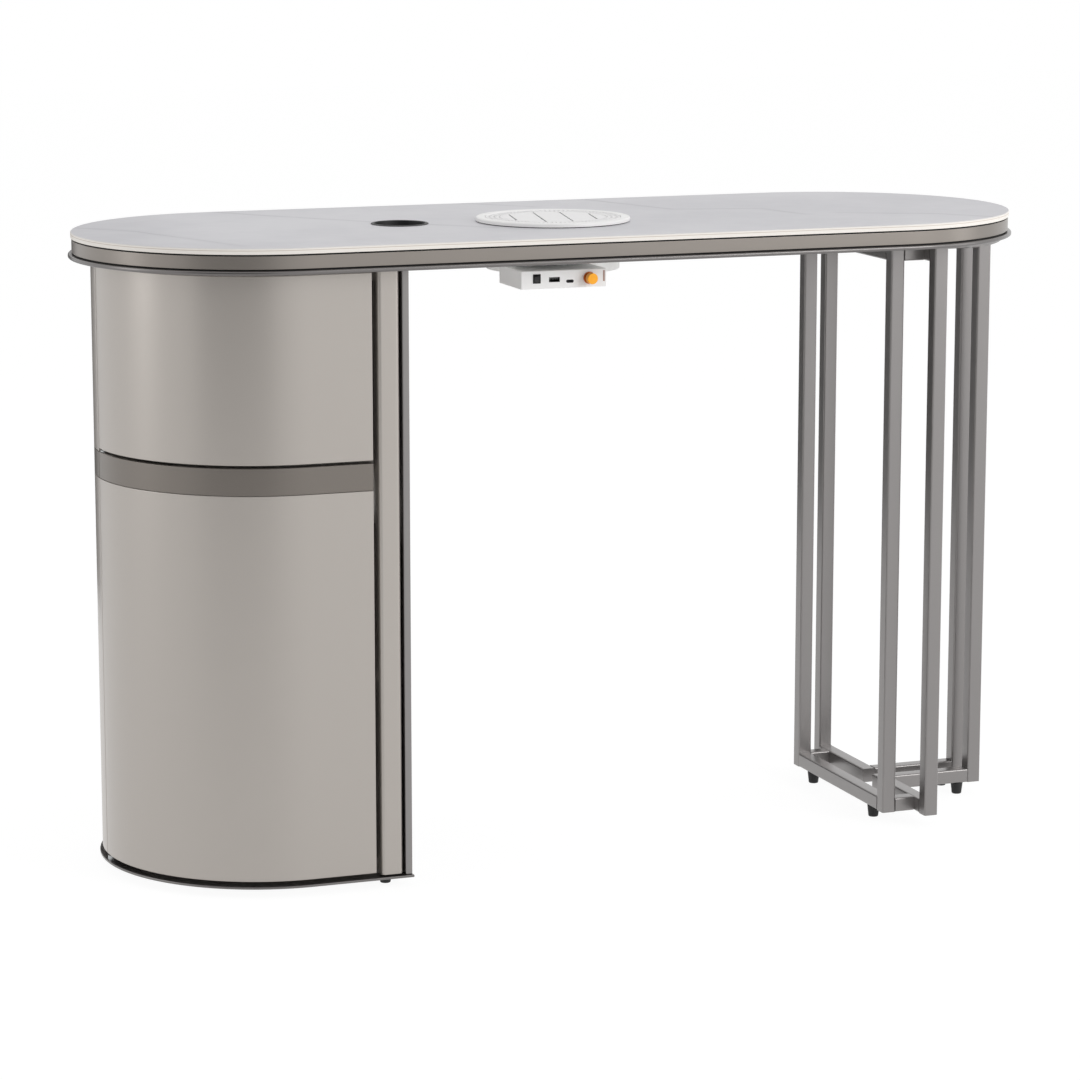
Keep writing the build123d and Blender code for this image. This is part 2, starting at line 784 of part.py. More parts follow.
with BuildPart() as small_screws:
    for n in range(screw_count):
        angle = math.radians(45 + 360 * n / screw_count)
        clamp_spot = (
            collector_x + clamp_screw_circle * math.cos(angle),
            collector_y + clamp_screw_circle * math.sin(angle),
        )
        fan_spot = (
            collector_x + fan_screw_circle * math.cos(angle),
            collector_y + fan_screw_circle * math.sin(angle),
        )
        add_screw(*clamp_spot, clamp_ring_z, clamp_screw_length, screw_radius, screw_head_radius,
                  screw_head_height)
        add_screw(*fan_spot, guard_z, ledge_z + fan_ledge_height - fan_screw_end_gap - guard_z, screw_radius,
                  fan_screw_head_radius, screw_head_height)
    for x in bracket_screw_x:
        add_screw(x, hang_screw_y, under_z - bracket_thickness, hang_screw_length, screw_radius,
                  screw_head_radius, screw_head_height)
small_screws.part.label = "small_screws"
export_step(small_screws.part, "parts/small_screws.step")

# ---- control box ----

shell_front = box_front + face_thickness
inlet_plane = Plane(
    origin=(inlet_x, box_back, box_bottom + box_height / 2), x_dir=(1, 0, 0), z_dir=(0, -1, 0)
)
with BuildPart() as control_box_shell:
    with Locations((box_left, shell_front, box_bottom)):
        Box(box_width, box_depth - face_thickness, box_height - box_wall, align=corner)
    with Locations((box_left + box_wall, shell_front, box_bottom + box_wall)):
        Box(box_width - 2 * box_wall, box_depth - face_thickness - box_wall, box_height,
            align=corner, mode=Mode.SUBTRACT)
    fillet(control_box_shell.edges().filter_by(Axis.Z).group_by(Axis.Y)[-1], box_corner)
    with BuildSketch(inlet_plane):
        Circle(inlet_radius + port_clearance)
    extrude(amount=2 * box_wall, mode=Mode.SUBTRACT)
control_box_shell.part.label = "control_box_shell"
export_step(control_box_shell.part, "parts/control_box_shell.step")

with BuildPart() as control_box_lid:
    with Locations((box_left, shell_front, box_top - box_wall)):
        Box(box_width, box_depth - face_thickness, box_wall, align=corner)
    fillet(control_box_lid.edges().filter_by(Axis.Z).group_by(Axis.Y)[-1], box_corner)
control_box_lid.part.label = "control_box_lid"
export_step(control_box_lid.part, "parts/control_box_lid.step")

face_back = Plane(origin=(0, shell_front, box_bottom), x_dir=(1, 0, 0), z_dir=(0, -1, 0))
with BuildPart() as control_face_plate:
    with BuildSketch(face_back):
        with Locations((box_left + box_width / 2, box_height / 2)):
            RectangleRounded(box_width, box_height, face_corner)
        with Locations((switch_x, switch_up)):
            Rectangle(switch_width - 2 * switch_flange_lip, switch_height - 2 * switch_flange_lip,
                      mode=Mode.SUBTRACT)
        with Locations((usb_a_x, usb_a_up)):
            Rectangle(usb_a_width + 2 * port_clearance, usb_a_height + 2 * port_clearance,
                      mode=Mode.SUBTRACT)
        with Locations((usb_c_x, usb_c_up)):
            SlotOverall(usb_c_width + 2 * port_clearance, usb_c_height + 2 * port_clearance,
                        mode=Mode.SUBTRACT)
        with Locations((knob_x, knob_up)):
            Circle(bush_radius + port_clearance, mode=Mode.SUBTRACT)
        with Locations((lens_x, lens_up)):
            Rectangle(lens_width, lens_height, mode=Mode.SUBTRACT)
    extrude(amount=face_thickness)
    chamfer(control_face_plate.faces().sort_by(Axis.Y)[0].outer_wire().edges(), face_edge)
control_face_plate.part.label = "control_face_plate"
export_step(control_face_plate.part, "parts/control_face_plate.step")

with BuildPart() as control_box_bracket:
    with Locations((bracket_left, bracket_back - bracket_flange, box_top)):
        Box(bracket_width, bracket_flange, bracket_thickness, align=corner)
    with Locations((bracket_left, bracket_back - bracket_flange, box_top)):
        Box(bracket_width, bracket_thickness, under_z - box_top, align=corner)
    with Locations((bracket_left, bracket_back - 2 * bracket_flange, under_z - bracket_thickness)):
        Box(bracket_width, bracket_flange + bracket_thickness, bracket_thickness, align=corner)
    with Locations(*[(x, hang_screw_y, under_z) for x in bracket_screw_x]):
        Cylinder(screw_hole, 4 * bracket_thickness, mode=Mode.SUBTRACT)
control_box_bracket.part.label = "control_box_bracket"
export_step(control_box_bracket.part, "parts/control_box_bracket.step")

switch_z = box_bottom + switch_up
cavity_width = rocker_width + 2 * rocker_side_gap
cavity_height = rocker_height + 2 * rocker_end_gap
with BuildPart() as switch_housing:
    with Locations((switch_x - switch_width / 2, box_front - switch_flange, switch_z - switch_height / 2)):
        Box(switch_width, switch_flange, switch_height, align=corner)
    with Locations((switch_x, box_front, switch_z)):
        Box(switch_width - 2 * switch_body_lip, switch_depth, switch_height - 2 * switch_body_lip,
            align=(Align.CENTER, Align.MIN, Align.CENTER))
    with Locations((switch_x, box_front - switch_flange, switch_z)):
        Box(cavity_width, switch_depth - switch_floor, cavity_height,
            align=(Align.CENTER, Align.MIN, Align.CENTER), mode=Mode.SUBTRACT)
switch_housing.part.label = "switch_housing"
export_step(switch_housing.part, "parts/switch_housing.step")

rocker_axis_y = box_front + rocker_axis_depth
tilt = math.radians(rocker_tilt)
rocker_plane = Plane(
    origin=(switch_x - rocker_width / 2, rocker_axis_y, switch_z),
    x_dir=(0, math.cos(tilt), math.sin(tilt)),
    z_dir=(1, 0, 0),
)
with BuildPart() as switch_rocker:
    with BuildSketch(rocker_plane):
        with BuildLine():
            Polyline(
                (-rocker_tip_reach, rocker_height / 2),
                (-rocker_dip_reach, 0),
                (-rocker_tip_reach, -rocker_height / 2),
                (-rocker_cheek_reach, -rocker_height / 2),
                (rocker_heel_reach, -rocker_heel_half),
                (rocker_heel_reach, rocker_heel_half),
                (-rocker_cheek_reach, rocker_height / 2),
                close=True,
            )
        make_face()
    extrude(amount=rocker_width)
switch_rocker.part.label = "switch_rocker"
export_step(switch_rocker.part, "parts/switch_rocker.step")

usb_a_z = box_bottom + usb_a_up
with BuildPart() as usb_a_port:
    with Locations((usb_a_x, box_front + port_clearance, usb_a_z)):
        Box(usb_a_width, usb_a_depth, usb_a_height, align=(Align.CENTER, Align.MIN, Align.CENTER))
        Box(usb_a_width - 2 * port_wall, usb_a_depth - port_floor, usb_a_height - 2 * port_wall,
            align=(Align.CENTER, Align.MIN, Align.CENTER), mode=Mode.SUBTRACT)
    with Locations((usb_a_x, box_front + tongue_set_back, usb_a_z + usb_a_tongue_up)):
        Box(usb_a_width - 2 * (port_wall + tongue_side_gap), usb_a_depth - tongue_set_back,
            usb_a_tongue, align=(Align.CENTER, Align.MIN, Align.CENTER))
usb_a_port.part.label = "usb_a_port"
export_step(usb_a_port.part, "parts/usb_a_port.step")

usb_c_z = box_bottom + usb_c_up
port_plane = Plane(origin=(0, box_front + port_clearance, box_bottom), x_dir=(1, 0, 0), z_dir=(0, -1, 0))
with BuildPart() as usb_c_port:
    with BuildSketch(port_plane):
        with Locations((usb_c_x, usb_c_up)):
            SlotOverall(usb_c_width, usb_c_height)
    extrude(amount=-usb_c_depth)
    with BuildSketch(port_plane):
        with Locations((usb_c_x, usb_c_up)):
            SlotOverall(usb_c_width - 2 * port_wall, usb_c_height - 2 * port_wall)
    extrude(amount=port_floor - usb_c_depth, mode=Mode.SUBTRACT)
    with Locations((usb_c_x, box_front + tongue_set_back, usb_c_z)):
        Box(usb_c_width - 2 * (port_wall + tongue_side_gap), usb_c_depth - tongue_set_back,
            usb_c_tongue, align=(Align.CENTER, Align.MIN, Align.CENTER))
usb_c_port.part.label = "usb_c_port"
export_step(usb_c_port.part, "parts/usb_c_port.step")

knob_z = box_bottom + knob_up
knob_axis = Axis((knob_x, 0, knob_z), (0, 1, 0))
knob_plane = Plane(origin=(knob_x, 0, knob_z), x_dir=(1, 0, 0), z_dir=(0, 0, 1))
collar_back = box_front - knob_gap
collar_front = collar_back - knob_collar_length
waist_front = collar_front - knob_waist_length
knob_front = waist_front - knob_length
spindle_end = shell_front + spindle_overrun
with BuildPart() as speed_knob:
    with BuildSketch(knob_plane):
        with BuildLine():
            Polyline(
                (0, knob_front),
                (knob_radius - knob_edge, knob_front),
                (knob_radius, knob_front + knob_edge),
                (knob_radius, waist_front),
                (knob_waist_radius, waist_front),
                (knob_waist_radius, collar_front),
                (knob_collar_radius, collar_front),
                (knob_collar_radius, collar_back),
                (spindle_radius, collar_back),
                (spindle_radius, spindle_end),
                (0, spindle_end),
                close=True,
            )
        make_face()
    revolve(axis=knob_axis)
speed_knob.part.label = "speed_knob"
export_step(speed_knob.part, "parts/speed_knob.step")

bush_plane = Plane(origin=(knob_x, shell_front, knob_z), x_dir=(1, 0, 0), z_dir=(0, -1, 0))
with BuildPart() as potentiometer:
    with Locations((knob_x, shell_front, knob_z)):
        Box(potentiometer_size, potentiometer_depth, potentiometer_size,
            align=(Align.CENTER, Align.MIN, Align.CENTER))
    with BuildSketch(bush_plane):
        Circle(bush_radius)
    extrude(amount=face_thickness)
    with BuildSketch(bush_plane):
        Circle(spindle_radius + bush_clearance)
    extrude(amount=face_thickness, mode=Mode.SUBTRACT)
    with BuildSketch(bush_plane):
        Circle(spindle_radius + bush_clearance)
    extrude(amount=-(spindle_overrun + bush_clearance), mode=Mode.SUBTRACT)
potentiometer.part.label = "potentiometer"
export_step(potentiometer.part, "parts/potentiometer.step")

with BuildPart() as indicator_lens:
    with Locations((lens_x, box_front, box_bottom + lens_up)):
        Box(lens_width - port_clearance, face_thickness, lens_height - port_clearance,
            align=(Align.CENTER, Align.MIN, Align.CENTER))
indicator_lens.part.label = "indicator_lens"
export_step(indicator_lens.part, "parts/indicator_lens.step")

with BuildPart() as power_inlet:
    with BuildSketch(inlet_plane):
        Circle(inlet_radius)
    extrude(amount=inlet_length)
    with BuildSketch(inlet_plane):
        Circle(inlet_bore_radius)
        Circle(inlet_pin_radius, mode=Mode.SUBTRACT)
    extrude(amount=inlet_length - inlet_floor, mode=Mode.SUBTRACT)
power_inlet.part.label = "power_inlet"
export_step(power_inlet.part, "parts/power_inlet.step")

pcb_z = box_bottom + box_wall
pcb_left = box_left + box_wall + pcb_edge_gap
pcb_width = box_width - 2 * (box_wall + pcb_edge_gap)
pcb_front = box_front + usb_a_depth + face_thickness
pcb_depth = box_back - inlet_length - pcb_rear_gap - pcb_front
with BuildPart() as circuit_board:
    with Locations((pcb_left, pcb_front, pcb_z + pcb_up)):
        Box(pcb_width, pcb_depth, board_thickness, align=corner)
    for x in (pcb_left + standoff_inset, pcb_left + pcb_width - standoff_inset):
        for y in (pcb_front + standoff_inset, pcb_front + pcb_depth - standoff_inset):
            with Locations((x, y, pcb_z)):
                Cylinder(standoff_radius, pcb_up, align=(Align.CENTER, Align.CENTER, Align.MIN))
circuit_board.part.label = "circuit_board"
export_step(circuit_board.part, "parts/circuit_board.step")

# ---- cabinet ----

with BuildPart() as base_plate:
    with BuildSketch(Plane.XY.offset(base_plate_z)):
        add(d_plan(cabinet_radius + base_plate_lip, cabinet_right + base_plate_reach))
    extrude(amount=base_plate_thickness)
base_plate.part.label = "base_plate"
export_step(base_plate.part, "parts/base_plate.step")

with BuildPart() as cabinet_feet:
    foot_ring = cabinet_radius - foot_ring_inset
    foot_turn = math.radians(foot_ring_angle)
    for x, y in (
        (cabinet_right - foot_edge_inset, cabinet_radius - foot_edge_inset),
        (cabinet_x - foot_ring * math.cos(foot_turn), foot_ring * math.sin(foot_turn)),
    ):
        for side in (-1, 1):
            with Locations((x, side * y, base_plate_z / 2)):
                Cone(foot_radius - foot_taper, foot_radius, base_plate_z)
cabinet_feet.part.label = "cabinet_feet"
export_step(cabinet_feet.part, "parts/cabinet_feet.step")

with BuildPart() as bottom_board:
    with BuildSketch(Plane.XY.offset(base_top)):
        add(board_plan(side_panel_x, inner_radius))
    extrude(amount=bottom_board_height)
bottom_board.part.label = "bottom_board"
export_step(bottom_board.part, "parts/bottom_board.step")

with BuildPart() as back_shell:
    with BuildSketch(Plane.XY.offset(door_bottom_z)):
        add(back_plan(cabinet_radius, panel_thickness))
    extrude(amount=under_z - door_bottom_z)
    with BuildSketch(Plane.XY.offset(band_z)):
        add(back_plan(cabinet_radius, band_thickness))
    extrude(amount=band_height, mode=Mode.SUBTRACT)
back_shell.part.label = "back_shell"
export_step(back_shell.part, "parts/back_shell.step")

with BuildPart() as shell_band:
    with BuildSketch(Plane.XY.offset(band_z)):
        add(back_plan(cabinet_radius, band_thickness))
    extrude(amount=band_height)
shell_band.part.label = "shell_band"
export_step(shell_band.part, "parts/shell_band.step")

with BuildPart() as side_panel:
    with Locations((side_panel_x, -cabinet_radius, base_top)):
        Box(side_panel_thickness, 2 * cabinet_radius, under_z - base_top, align=corner)
side_panel.part.label = "side_panel"
export_step(side_panel.part, "parts/side_panel.step")

pilaster_z = base_top + pilaster_bottom_gap
with BuildPart() as pilaster:
    with Locations((pilaster_left, -cabinet_radius, pilaster_z)):
        Box(pilaster_width, panel_thickness, under_z - pilaster_z, align=corner)
    fillet(pilaster.edges().filter_by(Axis.Z).group_by(Axis.Y)[0], pilaster_round)
pilaster.part.label = "pilaster"
export_step(pilaster.part, "parts/pilaster.step")

with BuildPart() as top_board:
    with BuildSketch(Plane.XY.offset(top_board_z)):
        add(board_plan(side_panel_x, inner_radius))
    extrude(amount=board_height)
top_board.part.label = "top_board"
export_step(top_board.part, "parts/top_board.step")

runner_board_x = pilaster_left - 2 * runner_space - drawer_width
runner_board_inset = cabinet_x - (runner_board_x - runner_board_thickness)
runner_board_reach = math.sqrt(inner_radius**2 - runner_board_inset**2) - runner_board_gap
runner_length = 2 * (runner_board_reach - runner_end_gap)
with BuildPart() as runner_boards:
    with Locations((pilaster_left, -cabinet_radius + panel_thickness, bottom_board_top)):
        Box(runner_board_thickness, 2 * inner_radius, top_board_z - bottom_board_top, align=corner)
    with Locations((runner_board_x - runner_board_thickness, -runner_board_reach, divider_top)):
        Box(runner_board_thickness, 2 * runner_board_reach, top_board_z - divider_top, align=corner)
runner_boards.part.label = "runner_boards"
export_step(runner_boards.part, "parts/runner_boards.step")

with BuildPart() as divider_board:
    with BuildSketch(Plane.XY.offset(divider_top - board_height)):
        add(board_plan(pilaster_left, inner_radius))
    extrude(amount=board_height)
divider_board.part.label = "divider_board"
export_step(divider_board.part, "parts/divider_board.step")

with BuildPart() as drawer_front:
    with BuildSketch(Plane.XY.offset(drawer_bottom_z)):
        add(front_plan(cabinet_radius, panel_thickness))
    extrude(amount=drawer_top_z - drawer_bottom_z)
drawer_front.part.label = "drawer_front"
export_step(drawer_front.part, "parts/drawer_front.step")

drawer_left = runner_board_x + runner_space
drawer_box_z = drawer_bottom_z + drawer_box_lift
drawer_box_height = top_board_z - drawer_box_gap - drawer_box_z
drawer_back_y = inner_radius - drawer_back_gap
with BuildPart() as drawer_box:
    with BuildSketch(Plane.XY.offset(drawer_box_z)):
        add(d_plan(inner_radius, door_right))
        with Locations((drawer_left, drawer_back_y)):
            Rectangle(drawer_width, 2 * cabinet_radius, align=(Align.MIN, Align.MAX),
                      mode=Mode.INTERSECT)
    extrude(amount=drawer_box_height)
    with BuildSketch(Plane.XY.offset(drawer_box_z + drawer_floor)):
        with Locations((drawer_left + drawer_wall, drawer_back_y - drawer_wall)):
            Rectangle(drawer_width - 2 * drawer_wall, 3 * cabinet_radius, align=(Align.MIN, Align.MAX))
    extrude(amount=drawer_box_height, mode=Mode.SUBTRACT)
drawer_box.part.label = "drawer_box"
export_step(drawer_box.part, "parts/drawer_box.step")

runner_z = drawer_box_z + runner_lift
drawer_right = drawer_left + drawer_width


def channel(x, opens, z, height, depth):
    # A steel channel along Y, its web at x and its open side towards "opens"
    with BuildPart() as rail:
        with BuildSketch(Plane(origin=(x, 0, z), x_dir=(opens, 0, 0), z_dir=(0, -opens, 0))):
            Rectangle(depth, height, align=(Align.MIN, Align.MIN))
            with Locations((runner_sheet, runner_sheet)):
                Rectangle(depth, height - 2 * runner_sheet, align=(Align.MIN, Align.MIN),
                          mode=Mode.SUBTRACT)
        extrude(amount=runner_length / 2, both=True)
    return rail.part


inner_rail_height = runner_height - 2 * (runner_sheet + runner_clearance)
inner_rail_z = runner_z + runner_sheet + runner_clearance
with BuildPart() as cabinet_runners:
    add(channel(runner_board_x, 1, runner_z, runner_height, runner_depth))
    add(channel(pilaster_left, -1, runner_z, runner_height, runner_depth))
cabinet_runners.part.label = "cabinet_runners"
export_step(cabinet_runners.part, "parts/cabinet_runners.step")

with BuildPart() as drawer_runners:
    add(channel(drawer_left, -1, inner_rail_z, inner_rail_height, runner_depth))
    add(channel(drawer_right, 1, inner_rail_z, inner_rail_height, runner_depth))
drawer_runners.part.label = "drawer_runners"
export_step(drawer_runners.part, "parts/drawer_runners.step")

pivot_x = seam_x + pivot_inset
pivot_y = -seam_gap / 2 - pivot_from_seam
with BuildPart() as door_panel:
    with BuildSketch(Plane.XY.offset(door_bottom_z)):
        add(front_plan(cabinet_radius, panel_thickness))
    extrude(amount=band_top - door_bottom_z)
    with BuildSketch(Plane.XY.offset(band_z)):
        add(front_plan(cabinet_radius, band_thickness))
    extrude(amount=band_height, mode=Mode.SUBTRACT)
    for level in (door_bottom_z, band_top - pivot_pin_depth):
        with BuildSketch(Plane.XY.offset(level)):
            with Locations((pivot_x, pivot_y)):
                Circle(pivot_pin_radius + pivot_clearance)
        extrude(amount=pivot_pin_depth, mode=Mode.SUBTRACT)
door_panel.part.label = "door_panel"
export_step(door_panel.part, "parts/door_panel.step")

with BuildPart() as door_band:
    with BuildSketch(Plane.XY.offset(band_z)):
        add(front_plan(cabinet_radius, band_thickness))
    extrude(amount=band_height)
door_band.part.label = "door_band"
export_step(door_band.part, "parts/door_band.step")

with BuildPart() as pivot_plates:
    with BuildSketch(Plane.XY.offset(divider_top)):
        with Locations((pivot_x, pivot_y)):
            Circle(pivot_plate_radius)
            Rectangle(pivot_plate_length, 2 * pivot_plate_radius, align=(Align.MIN, Align.CENTER))
            Circle(pivot_pin_radius + pivot_clearance, mode=Mode.SUBTRACT)
    extrude(amount=pivot_plate_thickness)
    with BuildSketch(Plane.XY.offset(base_top)):
        with Locations((pivot_x, pivot_y)):
            Circle(pivot_block_radius)
            Circle(pivot_pin_radius + pivot_clearance, mode=Mode.SUBTRACT)
    extrude(amount=pivot_block_height)
pivot_plates.part.label = "pivot_plates"
export_step(pivot_plates.part, "parts/pivot_plates.step")

pin_length = pivot_pin_depth - pivot_bore_gap
lower_pin_z = base_top + pivot_end_gap
with BuildPart() as pivot_pins:
    with BuildSketch(Plane.XY.offset(lower_pin_z)):
        with Locations((pivot_x, pivot_y)):
            Circle(pivot_pin_radius)
    extrude(amount=door_bottom_z + pin_length - lower_pin_z)
    with BuildSketch(Plane.XY.offset(band_top - pin_length)):
        with Locations((pivot_x, pivot_y)):
            Circle(pivot_pin_radius)
    extrude(amount=divider_top + pivot_plate_thickness - band_top + pin_length)
pivot_pins.part.label = "pivot_pins"
export_step(pivot_pins.part, "parts/pivot_pins.step")

with BuildPart() as cabinet_shelf:
    with BuildSketch(Plane.XY.offset(shelf_z)):
        add(board_plan(pilaster_left - shelf_clearance, inner_radius - shelf_clearance))
    extrude(amount=shelf_thickness)
cabinet_shelf.part.label = "cabinet_shelf"
export_step(cabinet_shelf.part, "parts/cabinet_shelf.step")

pin_z = shelf_z - shelf_pin_radius
pin_start = math.sqrt(inner_radius**2 - shelf_pin_radius**2) - shelf_pin_length
with BuildPart() as shelf_pins:
    for y in (-shelf_pin_y, shelf_pin_y):
        with BuildSketch(Plane(origin=(pilaster_left, y, pin_z), z_dir=(-1, 0, 0))):
            Circle(shelf_pin_radius)
        extrude(amount=shelf_pin_length)
    for angle in shelf_pin_angles:
        outward = Vector(1, 0, 0).rotate(Axis.Z, angle)
        start = Vector(cabinet_x, 0, pin_z) + outward * pin_start
        with BuildSketch(Plane(origin=start, z_dir=outward)):
            Circle(shelf_pin_radius)
        extrude(amount=shelf_pin_length)
shelf_pins.part.label = "shelf_pins"
export_step(shelf_pins.part, "parts/shelf_pins.step")

strike_y = -inner_radius + strike_thickness
catch_z = band_z - catch_drop
with BuildPart() as door_catch:
    with Locations((pilaster_left - catch_width, strike_y + catch_gap, catch_z)):
        Box(catch_width, catch_depth, catch_height, align=corner)
    fillet(door_catch.edges().filter_by(Axis.Z), catch_round)
door_catch.part.label = "door_catch"
export_step(door_catch.part, "parts/door_catch.step")

with BuildPart() as strike_plate:
    with Locations((door_right - strike_width, -inner_radius, catch_z + catch_height / 2)):
        Box(strike_width, strike_thickness, strike_height, align=(Align.MIN, Align.MIN, Align.CENTER))
strike_plate.part.label = "strike_plate"
export_step(strike_plate.part, "parts/strike_plate.step")

# ---- tube legs ----

post_height = top_rail_z + tube - leg_bottom_z
rail_levels = (leg_bottom_z, top_rail_z)


def post(x, y):
    # An upright tube from its low corner, closed at both ends
    with BuildPart() as bar:
        with Locations((x, y, leg_bottom_z)):
            Box(tube, tube, post_height, align=corner)
        with Locations((x + tube_wall, y + tube_wall, leg_bottom_z + tube_wall)):
            Box(tube - 2 * tube_wall, tube - 2 * tube_wall, post_height - 2 * tube_wall,
                align=corner, mode=Mode.SUBTRACT)
    return bar.part


def rail(x, y, z, length, along_x):
    # A level tube between two others, short of them by the weld gap at each end
    end = weld_gap if along_x else 0.0
    side = weld_gap - end
    size_x = length - 2 * weld_gap if along_x else tube
    size_y = tube if along_x else length - 2 * weld_gap
    with BuildPart() as bar:
        with Locations((x + end, y + side, z)):
            Box(size_x, size_y, tube, align=corner)
        with Locations((x + end + tube_wall, y + side + tube_wall, z + tube_wall)):
            Box(size_x - 2 * tube_wall, size_y - 2 * tube_wall, tube - 2 * tube_wall,
                align=corner, mode=Mode.SUBTRACT)
    return bar.part


with BuildPart() as inner_leg_frame:
    rail_y = inner_frame_half_width - tube
    for y in (-inner_frame_half_width, rail_y):
        add(post(inner_frame_x, y))
    for level in rail_levels:
        add(rail(inner_frame_x, -rail_y, level, 2 * rail_y, False))
inner_leg_frame.part.label = "inner_leg_frame"
export_step(inner_leg_frame.part, "parts/inner_leg_frame.step")


def outer_leg_frame(side):
    # Two posts joined by an L of rails at top and bottom, with no post at its corner
    post_y = min(side * outer_frame_half_width, side * (outer_frame_half_width - tube))
    rail_start = min(side * outer_rail_inner_y, side * (outer_frame_half_width - tube))
    rail_length = outer_frame_half_width - tube - outer_rail_inner_y
    arm_y = min(side * outer_rail_inner_y, side * (outer_rail_inner_y + tube))
    tie_y = min(side * inner_frame_half_width, side * (inner_frame_half_width - tube))
    tie_x = inner_frame_x + tube
    arm_x = outer_frame_x + tube
    with BuildPart() as frame:
        add(post(outer_frame_x, post_y))
        add(post(outer_post_x, arm_y))
        for level in rail_levels:
            add(rail(outer_frame_x, rail_start, level, rail_length, False))
            add(rail(arm_x, arm_y, level, outer_post_x - arm_x, True))
            add(rail(tie_x, tie_y, level, outer_frame_x - tie_x, True))
    return frame.part


with BuildPart() as front_leg_frame:
    add(outer_leg_frame(-1))
front_leg_frame.part.label = "front_leg_frame"
export_step(front_leg_frame.part, "parts/front_leg_frame.step")

with BuildPart() as back_leg_frame:
    add(outer_leg_frame(1))
back_leg_frame.part.label = "back_leg_frame"
export_step(back_leg_frame.part, "parts/back_leg_frame.step")

plate_z = under_z - leg_plate_thickness
with BuildPart() as leg_plates:
    for side in (-1, 1):
        with BuildSketch(Plane.XY.offset(plate_z)):
            plate_y = side * (outer_rail_inner_y + leg_plate_width / 2)
            with Locations((inner_frame_x + leg_plate_length / 2, plate_y)):
                Rectangle(leg_plate_length, leg_plate_width)
            with Locations((end_x, 0)):
                Circle(leg_plate_reach, mode=Mode.INTERSECT)
            with Locations(leg_screw_spots):
                Circle(leg_screw_hole, mode=Mode.SUBTRACT)
        extrude(amount=leg_plate_thickness)
leg_plates.part.label = "leg_plates"
export_step(leg_plates.part, "parts/leg_plates.step")

with BuildPart() as leg_screws:
    for x, y in leg_screw_spots:
        add_screw(x, y, plate_z, leg_screw_length, leg_screw_radius, leg_screw_head_radius,
                  leg_screw_head_height)
leg_screws.part.label = "leg_screws"
export_step(leg_screws.part, "parts/leg_screws.step")

with BuildPart() as leg_feet:
    foot_spots = [
        (inner_frame_x + tube / 2, -inner_foot_y),
        (inner_frame_x + tube / 2, inner_foot_y),
        (outer_foot_x, -outer_rail_inner_y - tube / 2),
        (outer_foot_x, outer_rail_inner_y + tube / 2),
    ]
    for x, y in foot_spots:
        with Locations((x, y, leg_bottom_z / 2)):
            Cone(foot_radius - foot_taper, foot_radius, leg_bottom_z)
leg_feet.part.label = "leg_feet"
export_step(leg_feet.part, "parts/leg_feet.step")
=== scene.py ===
import json
import math

import bmesh
import bpy
from mathutils import Matrix, Vector


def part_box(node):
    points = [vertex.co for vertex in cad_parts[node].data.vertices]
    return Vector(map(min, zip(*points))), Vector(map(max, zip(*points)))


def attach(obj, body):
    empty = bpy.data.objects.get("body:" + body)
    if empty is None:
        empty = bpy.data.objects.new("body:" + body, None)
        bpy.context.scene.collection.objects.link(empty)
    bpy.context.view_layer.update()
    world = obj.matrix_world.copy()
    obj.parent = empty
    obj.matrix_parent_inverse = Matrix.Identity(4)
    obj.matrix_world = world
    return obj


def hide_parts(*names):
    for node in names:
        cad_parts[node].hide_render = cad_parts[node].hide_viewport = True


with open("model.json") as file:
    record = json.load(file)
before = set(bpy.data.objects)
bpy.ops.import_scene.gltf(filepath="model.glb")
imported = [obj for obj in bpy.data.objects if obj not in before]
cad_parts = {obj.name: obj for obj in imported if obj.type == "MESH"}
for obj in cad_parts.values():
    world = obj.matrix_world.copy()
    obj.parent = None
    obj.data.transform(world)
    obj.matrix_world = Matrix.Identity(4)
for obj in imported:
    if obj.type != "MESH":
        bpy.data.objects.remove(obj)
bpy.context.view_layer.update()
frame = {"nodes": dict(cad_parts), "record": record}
nodes = frame["nodes"]
mm = 0.001
sameSpot = 1 * mm  # two places nearer than this count as one
up = (0, 0, 1)


# shader maths: a socket that adds Math nodes when it is used in an expression

class Wire:
    def __init__(self, tree, socket):
        self.tree = tree
        self.socket = socket

    def maths(self, operation, *others):
        return self.tree.node("ShaderNodeMath", {"operation": operation}, dict(enumerate((self,) + others)))

    def __add__(self, other):
        return self.maths("ADD", other)

    def __sub__(self, other):
        return self.maths("SUBTRACT", other)

    def __rsub__(self, other):
        return self.tree.node("ShaderNodeMath", {"operation": "SUBTRACT"}, {0: other, 1: self})

    def __mul__(self, other):
        return self.maths("MULTIPLY", other)

    __radd__ = __add__
    __rmul__ = __mul__


class Tree:
    # one node tree, and the one way its nodes are made
    def __init__(self, tree):
        self.tree = tree

    def plug(self, socket, value):
        if isinstance(value, Wire):
            self.tree.links.new(value.socket, socket)
        else:
            socket.default_value = value

    def node(self, kind, settings=None, inputs=None, out=0):
        made = self.tree.nodes.new(kind)
        for key, value in (settings or {}).items():
            setattr(made, key, value)
        for key, value in (inputs or {}).items():
            self.plug(made.inputs[key], value)
        return Wire(self, made.outputs[out])


